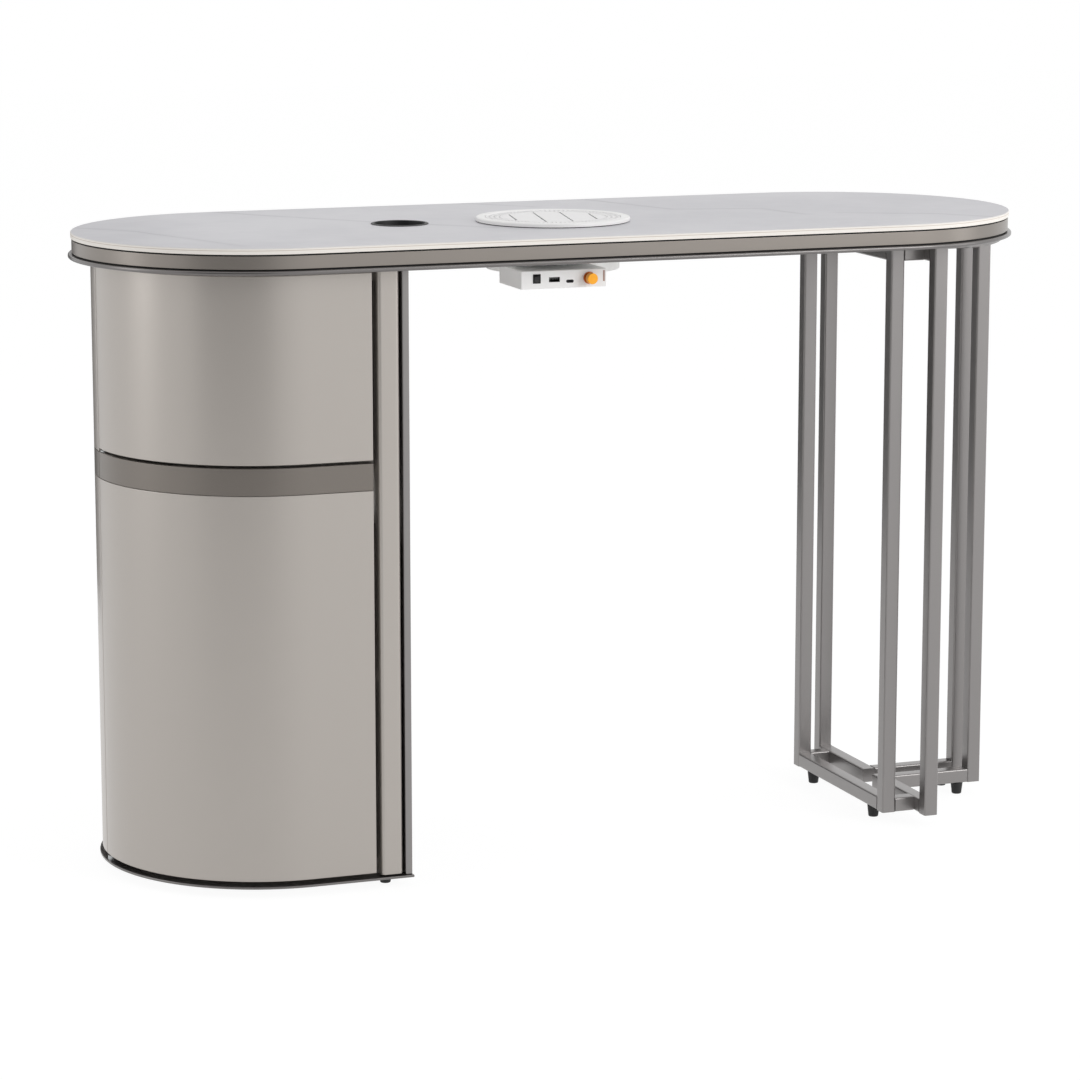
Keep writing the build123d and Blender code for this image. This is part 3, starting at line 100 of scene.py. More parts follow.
class Paint(Tree):
    def __init__(self, name, colour, roughness, metallic=0.0, **finish):
        self.material = bpy.data.materials.new(name)
        self.material.use_nodes = True
        super().__init__(self.material.node_tree)
        self.shader = self.tree.nodes["Principled BSDF"]
        self.colour = srgb(colour)
        self.set({"Base Color": self.colour, "Roughness": roughness, "Metallic": metallic})
        self.set({key.replace("_", " "): value for key, value in finish.items()})

    def set(self, values):
        for key, value in values.items():
            self.plug(self.shader.inputs[key], value)

    def place(self):
        return self.node("ShaderNodeTexCoord", out="Object")

    def vector(self, operation, a, b=(0, 0, 0), out=0, **more):
        return self.node("ShaderNodeVectorMath", {"operation": operation}, {0: a, 1: b, **more}, out)

    def noise(self, scale, detail=2.0, roughness=0.5, at=None, out="Fac"):
        inputs = {"Vector": at or self.place(), "Scale": scale, "Detail": detail, "Roughness": roughness}
        return self.node("ShaderNodeTexNoise", None, inputs, out)

    def ramp(self, value, low, high, fromLow=0.0, fromHigh=1.0):
        inputs = {"Value": value, 1: fromLow, 2: fromHigh, 3: low, 4: high}
        return self.node("ShaderNodeMapRange", {"interpolation_type": "SMOOTHSTEP"}, inputs)

    def mix(self, amount, a, b):
        return self.node("ShaderNodeMix", {"data_type": "RGBA"}, {0: amount, 6: a, 7: b}, out=2)

    def bump(self, height, strength, distance):
        inputs = {"Height": height, "Strength": strength, "Distance": distance}
        self.set({"Normal": self.node("ShaderNodeBump", None, inputs)})


def srgb(colour):
    # screen values from 0 to 255 to the linear colour that a shader takes
    shares = [c / 255 for c in colour]
    return tuple(s / 12.92 if s <= 0.04045 else ((s + 0.055) / 1.055) ** 2.4 for s in shares) + (1.0,)


# materials

stone = {
    "light": (214, 213, 217), "dark": (201, 200, 205), "vein": (160, 158, 164), "edge": (246, 241, 234),
    "veinWidth": 2.2 * mm, "veinDepth": 0.8, "haloWidth": 16 * mm, "haloDepth": 0.16, "wander": 9 * mm,
    "line": (184, 164, 148), "lineLevel": 770.4 * mm, "lineWidth": 0.9 * mm,
    "veins": [
        [(-0.60, 0.11), (-0.52, 0.02), (-0.45, -0.18)],
        [(-0.382, 0.23), (-0.225, 0.035), (-0.10, -0.09)],
        [(-0.042, 0.225), (0.029, 0.148)],
        [(0.125, 0.21), (0.182, 0.055), (0.291, 0.027), (0.313, -0.064)],
        [(0.36, -0.055), (0.473, -0.112), (0.53, -0.19)],
    ],
}


def stonePaint():
    # clouded stone with wandering veins on top; the side faces are painted pale, partly the stone's pale body and
    # partly painted highlight, with one thin line round them
    paint = Paint("sinteredStone", stone["light"], 0.38)
    place = paint.place()
    sway = paint.noise(7, 3, 0.6, out="Color")
    shake = paint.vector("SUBTRACT", sway, (0.5, 0.5, 0.5))
    moved = paint.vector("ADD", place, paint.vector("SCALE", shake, Scale=2 * stone["wander"]))
    flat = paint.vector("MULTIPLY", moved, (1, 1, 0))
    nearest = None
    for vein in stone["veins"]:
        for start, end in zip(vein, vein[1:]):
            run = Vector(end) - Vector(start)
            fromStart = paint.vector("SUBTRACT", flat, (*start, 0))
            along = paint.vector("DOT_PRODUCT", fromStart, (*(run / run.length_squared), 0), "Value")
            share = along.maths("MAXIMUM", 0).maths("MINIMUM", 1)
            foot = paint.vector("SCALE", (*run, 0), Scale=share)
            away = paint.vector("LENGTH", paint.vector("SUBTRACT", fromStart, foot), out="Value")
            nearest = nearest.maths("MINIMUM", away) if nearest else away
    broken = paint.ramp(paint.noise(14, 3), 0.25, 1, 0.35, 0.65)
    line = paint.ramp(nearest, 1, 0, 0, stone["veinWidth"]) * broken
    halo = paint.ramp(nearest, 1, 0, 0, stone["haloWidth"])
    cloud = paint.ramp(paint.noise(3.2, 5, 0.6), 0, 1, 0.3, 0.72)
    body = paint.mix(cloud, srgb(stone["light"]), srgb(stone["dark"]))
    veined = paint.mix(line * stone["veinDepth"] + halo * stone["haloDepth"], body, srgb(stone["vein"]))
    grain = paint.ramp(paint.noise(900, 2), 0, 0.06)
    speckled = paint.mix(grain, veined, (0.3, 0.3, 0.32, 1))
    facing = paint.node("ShaderNodeNewGeometry", out="Normal")
    upward = paint.node("ShaderNodeSeparateXYZ", None, {0: facing}, out="Z")
    # side faces and the chamfer, picked by facing: partly the stone's pale body, partly painted highlight
    side = paint.ramp(upward, 1, 0, 0.5, 0.95)
    level = paint.node("ShaderNodeSeparateXYZ", None, {0: place}, out="Z")
    offLine = (level - stone["lineLevel"]).maths("ABSOLUTE")
    glazeLine = paint.ramp(offLine, 0.55, 0, 0, stone["lineWidth"])
    edge = paint.mix(glazeLine, srgb(stone["edge"]), srgb(stone["line"]))
    paint.set({"Base Color": paint.mix(side, speckled, edge)})
    paint.set({"Roughness": 0.34 + paint.noise(40, 3) * 0.12})
    paint.bump(paint.noise(700, 3), 0.05, 0.3 * mm)
    return paint.material


def lacquerPaint(name, colour, roughness, metallic, flake=0.5, coat=0.15):
    # satin metallic lacquer: fine flake in the colour, a faint orange peel in the surface
    paint = Paint(name, colour, roughness, metallic, Coat_Weight=coat, Coat_Roughness=0.25)
    sparkle = paint.ramp(paint.noise(1600, 1), 0, flake * 0.12)
    tone = paint.ramp(paint.noise(2.5, 2), 0, 0.10)
    light = tuple(min(1, 1.12 * c) for c in paint.colour[:3]) + (1,)
    dark = tuple(0.80 * c for c in paint.colour[:3]) + (1,)
    toned = paint.mix(tone, paint.colour, dark)
    paint.set({"Base Color": paint.mix(sparkle, toned, light)})
    paint.set({"Roughness": roughness - 0.03 + paint.noise(30, 3) * 0.06})
    paint.bump(paint.noise(260, 2), 0.035, 0.15 * mm)
    return paint.material


def brushedPaint(name, colour, roughness, stretch=(3, 3, 420), metallic=0.9):
    # satin metal with fine lines along its length
    paint = Paint(name, colour, roughness, metallic)
    lines = paint.noise(1, 4, 0.7, at=paint.vector("MULTIPLY", paint.place(), stretch))
    dark = tuple(0.82 * c for c in paint.colour[:3]) + (1,)
    paint.set({"Base Color": paint.mix(paint.ramp(lines, 0, 0.6, 0.3, 0.7), paint.colour, dark)})
    paint.set({"Roughness": roughness - 0.04 + lines * 0.08})
    paint.bump(lines, 0.05, 0.1 * mm)
    return paint.material


def plasticPaint(name, colour, roughness, grain=450, depth=0.08, **finish):
    # moulded plastic with a fine spark texture
    paint = Paint(name, colour, roughness, **finish)
    texture = paint.noise(grain, 3, 0.6)
    shade = tuple(0.9 * c for c in paint.colour[:3]) + (1,)
    paint.set({"Base Color": paint.mix(paint.ramp(paint.noise(12, 2), 0, 0.35), paint.colour, shade)})
    paint.set({"Roughness": roughness - 0.04 + texture * 0.08})
    paint.bump(texture, depth, 0.2 * mm)
    return paint.material


def boardPaint(name, colour, weave=0.25):
    # faced board: long faint grain under a matt film
    paint = Paint(name, colour, 0.55)
    grain = paint.noise(1, 5, 0.65, at=paint.vector("MULTIPLY", paint.place(), (9, 9, 60)))
    dark = tuple(0.72 * c for c in paint.colour[:3]) + (1,)
    paint.set({"Base Color": paint.mix(paint.ramp(grain, 0, weave, 0.3, 0.7), paint.colour, dark)})
    paint.set({"Roughness": 0.5 + grain * 0.12})
    paint.bump(grain, 0.1, 0.2 * mm)
    return paint.material


def rawBoardPaint():
    # chip core: pressed flakes of two tones, and its upright sides painted near black as painted shade for the
    # thin gaps beside the slab, apron and rim
    paint = Paint("rawBoard", (178, 150, 112), 0.8)
    chips = paint.node("ShaderNodeTexVoronoi", {"feature": "F1"}, {"Vector": paint.place(), "Scale": 320}, "Color")
    tone = paint.node("ShaderNodeSeparateXYZ", None, {0: chips}, out="X")
    raw = paint.mix(tone * 0.6, paint.colour, srgb((120, 92, 60)))
    facing = paint.node("ShaderNodeNewGeometry", out="Normal")
    upright = paint.node("ShaderNodeSeparateXYZ", None, {0: facing}, out="Z").maths("ABSOLUTE")
    # upright sides near black: painted shade in the thin gaps
    gapShadeMask = paint.ramp(upright, 1, 0, 0.3, 0.7)
    paint.set({"Base Color": paint.mix(gapShadeMask, raw, srgb((16, 15, 15)))})
    paint.bump(tone, 0.2, 0.3 * mm)
    return paint.material


def clothPaint():
    # non-woven filter cloth: crossed fibres
    paint = Paint("filterCloth", (226, 230, 234), 0.9)
    place = paint.place()
    weft = paint.noise(1, 3, 0.7, at=paint.vector("MULTIPLY", place, (1800, 90, 300)))
    warp = paint.noise(1, 3, 0.7, at=paint.vector("MULTIPLY", place, (90, 1800, 300)))
    fibres = weft.maths("MAXIMUM", warp)
    shade = paint.ramp(fibres, 0.5, 0, 0.45, 0.75)
    paint.set({"Base Color": paint.mix(shade, paint.colour, srgb((176, 182, 190)))})
    paint.bump(fibres, 0.4, 0.3 * mm)
    return paint.material


def circuitPaint():
    # green solder mask with copper tracks under it
    paint = Paint("circuitBoard", (20, 78, 44), 0.35, Coat_Weight=0.4)
    place = paint.place()
    across = paint.node("ShaderNodeTexWave", {"bands_direction": "X"},
                        {"Vector": place, "Scale": 90, "Distortion": 6})
    tracks = paint.ramp(across, 0, 1, 0.55, 0.7)
    paint.set({"Base Color": paint.mix(tracks * 0.5, paint.colour, srgb((60, 132, 70)))})
    paint.bump(tracks, 0.2, 0.1 * mm)
    return paint.material


paints = {
    "stone": stonePaint(),
    "apron_metal": lacquerPaint("champagneMetal", (138, 132, 126), 0.34, 0.8),
    "rim_metal": lacquerPaint("rimMetal", (116, 113, 112), 0.3, 0.85),
    "panel_lacquer": lacquerPaint("panelLacquer", (178, 172, 166), 0.32, 0.62, coat=0.25),
    "leg_metal": lacquerPaint("legMetal", (140, 137, 136), 0.32, 0.85),
    "board": boardPaint("facedBoard", (150, 146, 141)),
    "core": rawBoardPaint(),
    "white_plastic": plasticPaint("whitePlastic", (249, 248, 247), 0.32, depth=0.03, Coat_Weight=0.1),
    "white_grille": plasticPaint("whiteGrille", (252, 251, 251), 0.45),
    "black_plastic": plasticPaint("blackPlastic", (15, 15, 16), 0.5),
    "grey_plastic": plasticPaint("greyPlastic", (96, 98, 102), 0.5),
    "zinc_steel": brushedPaint("zincSteel", (176, 178, 178), 0.34, (60, 60, 420)),
    "bright_steel": brushedPaint("brightSteel", (205, 206, 208), 0.16, (200, 200, 200), 1.0),
    "knob_gold": brushedPaint("goldAnodised", (248, 172, 56), 0.30, (60, 900, 60), 0.75),
    "filter_cloth": clothPaint(),
    "foam": plasticPaint("sealFoam", (34, 34, 35), 0.9, 900, 0.5),
    "foot_rubber": plasticPaint("footRubber", (20, 20, 21), 0.62, 600, 0.15),
    "pcb": circuitPaint(),
    "copper": brushedPaint("windingCopper", (190, 116, 70), 0.35, (30, 30, 2400), 0.9),
    "indicator": plasticPaint("roseLens", (176, 142, 132), 0.2, 300, 0.02),
}
slotOf = {row["node"]: row["material_slot"] for row in frame["record"]["subparts"]}
for name, node in nodes.items():
    node.data.materials.clear()
    node.data.materials.append(paints[slotOf[name]])
# the USB ports are black plastic; the door catch is painted black as painted shade, since it shows only in a dark
# gap
for hidden in ("usb_a_port", "usb_c_port", "door_catch"):
    nodes[hidden].data.materials[0] = paints["black_plastic"]
nodes["under_board"].data.materials[0] = boardPaint("whiteLaminate", (232, 231, 229), 0.08)
print("materials:", len(paints))


# mesh helpers

def linesOf(geometry):
    return [item for item in geometry if isinstance(item, bmesh.types.BMEdge)]


def pointsOf(geometry):
    return [item for item in geometry if isinstance(item, bmesh.types.BMVert)]


def outline(bm, points):
    # a closed loop of edges
    verts = [bm.verts.new(point) for point in points]
    return [bm.edges.new((a, b)) for a, b in zip(verts, verts[1:] + verts[:1])]


def pull(bm, edges, move):
    made = bmesh.ops.extrude_edge_only(bm, edges=edges)["geom"]
    bmesh.ops.translate(bm, verts=pointsOf(made), vec=move)
    return linesOf(made)


def turn(bm, edges, centre, degrees, steps):
    verts = list({vert for edge in edges for vert in edge.verts})
    full = abs(degrees) == 360
    made = bmesh.ops.spin(bm, geom=verts + edges, cent=centre, axis=up, angle=math.radians(degrees),
                          steps=steps, use_merge=full)
    return linesOf(made["geom_last"])


def close(bm):
    # caps open ends, joins doubles and turns the faces outwards
    bmesh.ops.remove_doubles(bm, verts=bm.verts, dist=0.02 * mm)
    rims = [edge for edge in bm.edges if edge.is_boundary]
    if rims:
        bmesh.ops.holes_fill(bm, edges=rims, sides=0)
    bmesh.ops.recalc_face_normals(bm, faces=bm.faces)


def corners(bm, least=28):
    # edges that turn by more than the least angle
    return [edge for edge in bm.edges if edge.is_manifold and edge.calc_face_angle() > math.radians(least)]


def soften(bm, radius, segments=3, edges=None):
    bmesh.ops.bevel(bm, geom=edges if edges is not None else corners(bm), offset=radius, offset_type="OFFSET",
                    affect="EDGES", segments=segments, profile=0.5, material=-1, clamp_overlap=True)


def block(bm, low, high):
    low, high = Vector(low), Vector(high)
    place = Matrix.Translation((low + high) / 2) @ Matrix.Diagonal((*(high - low), 1))
    return bmesh.ops.create_cube(bm, size=1, matrix=place)["verts"]


def lathe(bm, centre, section, steps=96):
    # turns a closed section of (radius, height) about an upright axis
    loop = outline(bm, [(centre.x + radius, centre.y, height) for radius, height in section])
    turn(bm, loop, centre, 360, steps)
    close(bm)


def copyOf(node):
    # the node's own mesh, its loose triangles merged into faces
    bm = bmesh.new()
    bm.from_mesh(nodes[node].data)
    bmesh.ops.remove_doubles(bm, verts=bm.verts, dist=0.002 * mm)
    bmesh.ops.dissolve_limit(bm, angle_limit=math.radians(0.4), verts=bm.verts, edges=bm.edges)
    return bm


def piece(name, bm, body, slot, *stoodFor):
    # a finished piece; edges that turn by more than 40 degrees stay sharp
    for face in bm.faces:
        face.smooth = True
    for edge in bm.edges:
        edge.smooth = edge.is_manifold and edge.calc_face_angle() < math.radians(40)
    mesh = bpy.data.meshes.new(name)
    bm.to_mesh(mesh)
    bm.free()
    mesh.materials.append(paints[slot])
    made = bpy.data.objects.new(name, mesh)
    bpy.context.scene.collection.objects.link(made)
    normals = made.modifiers.new("faceWeights", "WEIGHTED_NORMAL")
    normals.keep_sharp = True
    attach(made, body)
    if stoodFor:
        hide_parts(*stoodFor)
    return made


def middle(node):
    low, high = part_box(node)
    return (low + high) / 2


# table top: lacquered apron and rim round the stone

trim = {
    "arcSteps": 72, "shadowGap": 1.3 * mm, "apronThick": 1.5 * mm, "apronRound": 0.5 * mm,
    "rimRound": 1.9 * mm, "rimInnerWidth": 22 * mm,
}


def stadiumRing(bm, high, section):
    # a closed section of (outset, height), run along the straights and round both ends
    halfWidth = high.y
    halfRun = high.x - halfWidth
    start = [(halfRun, -halfWidth - outset, height) for outset, height in section]
    loop = outline(bm, start)
    loop = turn(bm, loop, (halfRun, 0, 0), 180, trim["arcSteps"])
    loop = pull(bm, loop, (-2 * halfRun, 0, 0))
    loop = turn(bm, loop, (-halfRun, 0, 0), 180, trim["arcSteps"])
    pull(bm, loop, (2 * halfRun, 0, 0))
    close(bm)


low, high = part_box("apron_band")
thickness = trim["apronThick"]
apron = bmesh.new()
top = high.z - trim["shadowGap"]
stadiumRing(apron, high, [(0, low.z), (0, top), (-thickness, top), (-thickness, low.z)])
soften(apron, trim["apronRound"])
piece("apronBand", apron, "table", "apron_metal", "apron_band")

low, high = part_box("rim_plate")
rim = bmesh.new()
inner = -trim["rimInnerWidth"]
stadiumRing(rim, high, [(0, low.z), (0, high.z), (inner, high.z), (inner, low.z)])


def isOuter(edge):
    # on a straight or on a round end, and not on the inner edge
    spot = edge.verts[0].co
    fromEnd = Vector((abs(spot.x) - (high.x - high.y), spot.y)).length
    return max(abs(spot.y), fromEnd) > high.y - sameSpot


soften(rim, trim["rimRound"], 5, [edge for edge in corners(rim) if isOuter(edge)])
piece("rimPlate", rim, "table", "rim_metal", "rim_plate")
print("top trim done")


# cabinet: bent fronts, bent back, pilaster, side and base

cabinet = {
    "panel": 15 * mm, "band": 1.5 * mm, "panelRound": 1.1 * mm, "bandRound": 0.5 * mm,
    "bendSteps": 64, "pilasterRound": 5 * mm, "pilasterEnd": 0.6 * mm, "sideRound": 1.2 * mm,
    "baseRound": 0.9 * mm,
    "seam": 0.8 * mm, "bandGroove": 0.8 * mm,
}
bandPaint = lacquerPaint("bandMetal", (122, 116, 110), 0.34, 0.8)
cabinetLow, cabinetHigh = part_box("back_shell")
cabinetRadius = cabinetHigh.y
cabinetAxis = Vector((cabinetLow.x + cabinetRadius, 0, 0))
bendAngle = 90 - math.degrees(math.asin(cabinet["seam"] / cabinetRadius))
bandLow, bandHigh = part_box("door_band")


def bentWall(bm, side, end, section):
    # a section of (depth, height) along the straight from end, then round to the seam
    loop = outline(bm, [(end, side * (cabinetRadius - depth), height) for depth, height in section])
    loop = pull(bm, loop, (cabinetAxis.x - end, 0, 0))
    turn(bm, loop, cabinetAxis, side * bendAngle, cabinet["bendSteps"])
    close(bm)


def plainSection(low, high, depth):
    return [(0, low.z), (0, high.z), (depth, high.z), (depth, low.z)]


low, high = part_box("drawer_front")
drawerFront = bmesh.new()
bentWall(drawerFront, -1, high.x, plainSection(low, high, cabinet["panel"]))
soften(drawerFront, cabinet["panelRound"])
piece("drawerFront", drawerFront, "drawer", "panel_lacquer", "drawer_front")

low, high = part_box("door_panel")
deep, skin = cabinet["panel"], cabinet["band"]
door = bmesh.new()
bentWall(door, -1, high.x, [(0, low.z), (0, bandLow.z), (skin, bandLow.z), (skin, high.z), (deep, high.z),
                            (deep, low.z)])
soften(door, cabinet["panelRound"])
piece("doorPanel", door, "door", "panel_lacquer", "door_panel")

doorBand = bmesh.new()
groove = Vector((0, 0, cabinet["bandGroove"]))
bentWall(doorBand, -1, high.x, plainSection(bandLow + groove, bandHigh, skin))
soften(doorBand, cabinet["bandRound"])
band = piece("doorBand", doorBand, "door", "apron_metal", "door_band")
band.data.materials[0] = bandPaint

shell = bmesh.new()
bentWall(shell, 1, cabinetHigh.x, [(0, cabinetLow.z), (0, bandLow.z), (skin, bandLow.z), (skin, bandHigh.z),
                                   (0, bandHigh.z), (0, cabinetHigh.z), (deep, cabinetHigh.z),
                                   (deep, cabinetLow.z)])
soften(shell, cabinet["panelRound"])
piece("backShell", shell, "table", "panel_lacquer", "back_shell")

shellBand = bmesh.new()
bentWall(shellBand, 1, cabinetHigh.x, plainSection(bandLow + groove, bandHigh - groove, skin))
soften(shellBand, cabinet["bandRound"])
band = piece("shellBand", shellBand, "table", "apron_metal", "shell_band")
band.data.materials[0] = bandPaint

low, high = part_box("pilaster")
pilaster = bmesh.new()
block(pilaster, low, high)
frontEdges = [edge for edge in pilaster.edges if all(vert.co.y < low.y + sameSpot for vert in edge.verts)
              and abs(edge.verts[0].co.z - edge.verts[1].co.z) > sameSpot]
soften(pilaster, cabinet["pilasterRound"], 8, frontEdges)
soften(pilaster, cabinet["pilasterEnd"], 2)
piece("pilaster", pilaster, "table", "panel_lacquer", "pilaster")

low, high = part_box("side_panel")
sidePanel = bmesh.new()
block(sidePanel, low, high)
soften(sidePanel, cabinet["sideRound"])
piece("sidePanel", sidePanel, "table", "leg_metal", "side_panel")

low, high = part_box("base_plate")
base = bmesh.new()
kneeCorner = base.verts.new((high.x, -high.y, low.z))
bendStart = base.verts.new((cabinetAxis.x, -high.y, low.z))
base.edges.new((kneeCorner, bendStart))
bmesh.ops.spin(base, geom=[bendStart], cent=cabinetAxis, axis=up, angle=-math.pi,
               steps=2 * cabinet["bendSteps"], use_merge=False)
bendEnd = max(base.verts, key=lambda vert: vert.co.y - abs(vert.co.x - cabinetAxis.x))
base.edges.new((bendEnd, base.verts.new((high.x, high.y, low.z))))
base.edges.new([vert for vert in base.verts if vert.co.x > high.x - sameSpot])
plan = bmesh.ops.contextual_create(base, geom=base.edges[:])["faces"]
lid = bmesh.ops.extrude_face_region(base, geom=plan)["geom"]
bmesh.ops.translate(base, verts=pointsOf(lid), vec=(0, 0, high.z - low.z))
close(base)
soften(base, cabinet["baseRound"])
piece("basePlate", base, "table", slotOf["base_plate"], "base_plate")
print("cabinet done")


# tube legs: every tube has rounded corners, and the joints show as fine lines

legs = {"tube": 18 * mm, "cornerRound": 2.2 * mm}


def roundTube(bm, low, high):
    # a square tube from low to high, rounded along its length
    long = max(range(3), key=lambda axis: high[axis] - low[axis])
    made = set(block(bm, low, high))
    edges = {edge for vert in made for edge in vert.link_edges}
    along = [edge for edge in edges if abs(edge.verts[0].co[long] - edge.verts[1].co[long]) > sameSpot]
    soften(bm, legs["cornerRound"], 4, along)


for node in ("inner_leg_frame", "front_leg_frame", "back_leg_frame"):
    # one island of the node's mesh is one tube
    frameMesh = copyOf(node)
    left = set(frameMesh.verts)
    tubes = bmesh.new()
    while left:
        island, front = set(), {left.pop()}
        while front:
            island |= front
            front = {edge.other_vert(vert) for vert in front for edge in vert.link_edges} - island
        left -= island
        spots = [vert.co for vert in island]
        low = Vector([min(spot[axis] for spot in spots) for axis in range(3)])
        high = Vector([max(spot[axis] for spot in spots) for axis in range(3)])
        if min(high - low) > legs["tube"] - sameSpot:
            roundTube(tubes, low, high)
    frameMesh.free()
    bmesh.ops.recalc_face_normals(tubes, faces=tubes.faces)
    piece("".join(word.capitalize() for word in node.split("_")), tubes, "table", "leg_metal", node)
print("legs done")


# dust collector: bezel and tub, and the perforated grille

collector = {
    "bezelRound": 2.2 * mm, "lipRound": 0.7 * mm, "wall": (79.5 * mm, 82 * mm, 83.2 * mm),
    "bezelHeight": 4.5 * mm, "seatDepth": 3 * mm, "ledge": 5.5 * mm, "ledgeHeight": 2 * mm,
    "steps": 160,
}
collectorAxis = middle("collector_tub")
collectorAxis.z = 0
tubLow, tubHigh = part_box("collector_tub")
bezelRadius = (tubHigh.x - tubLow.x) / 2
tub = bmesh.new()
outerWall, innerWall, seatRadius = collector["wall"]
flangeLevel = tubHigh.z - collector["bezelHeight"]
seatLevel = tubHigh.z - collector["seatDepth"]
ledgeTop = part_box("fan_frame")[1].z + collector["ledgeHeight"]
section = [(innerWall, tubLow.z), (outerWall, tubLow.z), (outerWall, flangeLevel), (bezelRadius, flangeLevel),
           (bezelRadius, tubHigh.z), (seatRadius, tubHigh.z), (seatRadius, seatLevel), (innerWall, seatLevel),
           (innerWall, ledgeTop), (innerWall - collector["ledge"], ledgeTop),
           (innerWall - collector["ledge"], ledgeTop - collector["ledgeHeight"]),
           (innerWall, ledgeTop - collector["ledgeHeight"])]
lathe(tub, collectorAxis, section, collector["steps"])


ringTolerance = 0.05 * mm


def ringEdges(bm, radius, height):
    # the edges of one turned corner
    return [edge for edge in bm.edges if all(
        abs((vert.co - collectorAxis).xy.length - radius) < ringTolerance
        and abs(vert.co.z - height) < ringTolerance for vert in edge.verts)]


soften(tub, collector["bezelRound"], 5, ringEdges(tub, bezelRadius, tubHigh.z))
soften(tub, collector["lipRound"], 3, ringEdges(tub, seatRadius, tubHigh.z))
piece("collectorTub", tub, "table", slotOf["collector_tub"], "collector_tub")

grille = {
    "rings": (66 * mm, 72 * mm, 78 * mm), "pitch": 6 * mm, "holes": 84, "holeRadius": 1.8 * mm,
    "rimRound": 0.6 * mm, "sunk": 0.8 * mm, "sheet": 1.2 * mm,
    "slots": (-49.5 * mm, -16.5 * mm, 16.5 * mm, 49.5 * mm), "slotWidth": 2.2 * mm, "slotReach": 61 * mm,
    "slotAngle": -12, "skirt": (75 * mm, 77 * mm), "rimDepth": 3 * mm,
}


def ringPoint(radius, degrees, height):
    angle = math.radians(degrees)
    return (collectorAxis.x + radius * math.cos(angle), collectorAxis.y + radius * math.sin(angle), height)


grilleLow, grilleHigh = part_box("intake_grille")
sheetTop = grilleHigh.z - grille["sunk"]
half = 180 / grille["holes"]
grilleMesh = bmesh.new()
for radius in grille["rings"]:
    near, far = radius - grille["pitch"] / 2, radius + grille["pitch"] / 2
    border = outline(grilleMesh, [ringPoint(far, 0, sheetTop), ringPoint(far, half, sheetTop),
                                  ringPoint(radius, half, sheetTop), ringPoint(near, half, sheetTop),
                                  ringPoint(near, 0, sheetTop), ringPoint(near, -half, sheetTop),
                                  ringPoint(radius, -half, sheetTop), ringPoint(far, -half, sheetTop)])
    hole = bmesh.ops.create_circle(grilleMesh, segments=8, radius=grille["holeRadius"],
                                   matrix=Matrix.Translation(ringPoint(radius, 0, sheetTop)))["verts"]
    holeEdges = list({edge for vert in hole for edge in vert.link_edges})
    bmesh.ops.bridge_loops(grilleMesh, edges=border + holeEdges)
bmesh.ops.spin(grilleMesh, geom=grilleMesh.verts[:] + grilleMesh.edges[:] + grilleMesh.faces[:],
               cent=collectorAxis, axis=up, angle=math.radians(360 - 2 * half), steps=grille["holes"] - 1,
               use_duplicate=True)
bmesh.ops.remove_doubles(grilleMesh, verts=grilleMesh.verts, dist=0.02 * mm)

# the middle disc shares the perforated sheet's inner edge, and its slots are cut out
discRadius = grille["rings"][0] - grille["pitch"] / 2
inside = [edge for edge in grilleMesh.edges if edge.is_boundary
          and all((vert.co - collectorAxis).xy.length < discRadius + ringTolerance for vert in edge.verts)]
bmesh.ops.contextual_create(grilleMesh, geom=inside)
slotAngle = math.radians(grille["slotAngle"])
across = Vector((math.cos(slotAngle), math.sin(slotAngle), 0))
along = Vector((-across.y, across.x, 0))


def fromAxis(face):
    return face.calc_center_median() - collectorAxis


def discFaces():
    return [face for face in grilleMesh.faces if fromAxis(face).xy.length < discRadius - sameSpot / 2]


def cut(faces, spot, normal):
    geom = set(faces) | {edge for face in faces for edge in face.edges} | {
        vert for face in faces for vert in face.verts}
    bmesh.ops.bisect_plane(grilleMesh, geom=list(geom), dist=0.001 * mm, plane_co=spot, plane_no=normal)


for offset in grille["slots"]:
    for side in (-0.5, 0.5):
        cut(discFaces(), collectorAxis + across * (offset + side * grille["slotWidth"]), across)


def slotUnder(face):
    # the offset of the slot that the face lies over, if any
    for offset in grille["slots"]:
        if abs(fromAxis(face).dot(across) - offset) < grille["slotWidth"] / 2:
            return offset
    return None


def halfLength(offset):
    return math.sqrt(grille["slotReach"] ** 2 - offset ** 2)


for offset in grille["slots"]:
    for side in (-1, 1):
        strip = [face for face in discFaces() if slotUnder(face) == offset]
        cut(strip, collectorAxis + along * side * halfLength(offset), along)
openings = [face for face in discFaces() if slotUnder(face) is not None
            and abs(fromAxis(face).dot(along)) < halfLength(slotUnder(face))]
bmesh.ops.delete(grilleMesh, geom=openings, context="FACES_ONLY")
loose = [edge for edge in grilleMesh.edges if not edge.link_faces]
bmesh.ops.delete(grilleMesh, geom=loose, context="EDGES")
sheet = bmesh.ops.extrude_face_region(grilleMesh, geom=grilleMesh.faces[:])["geom"]
bmesh.ops.translate(grilleMesh, verts=pointsOf(sheet), vec=(0, 0, -grille["sheet"]))
bmesh.ops.recalc_face_normals(grilleMesh, faces=grilleMesh.faces)
piece("grilleSheet", grilleMesh, "cassette", slotOf["intake_grille"], "intake_grille")

rimRing = bmesh.new()
rimInner = grille["rings"][-1] + grille["pitch"] / 2
grilleRadius = (grilleHigh.x - grilleLow.x) / 2
rimBottom = grilleHigh.z - grille["rimDepth"]
lathe(rimRing, collectorAxis, [(rimInner, rimBottom), (grilleRadius, rimBottom), (grilleRadius, grilleHigh.z),
                               (rimInner, grilleHigh.z)], collector["steps"])
soften(rimRing, grille["rimRound"], 4, ringEdges(rimRing, grilleRadius, grilleHigh.z)
       + ringEdges(rimRing, rimInner, grilleHigh.z))
skirtInner, skirtOuter = grille["skirt"]
lathe(rimRing, collectorAxis, [(skirtInner, grilleLow.z), (skirtOuter, grilleLow.z), (skirtOuter, rimBottom),
                               (skirtInner, rimBottom)], collector["steps"])
piece("grilleRim", rimRing, "cassette", slotOf["intake_grille"])

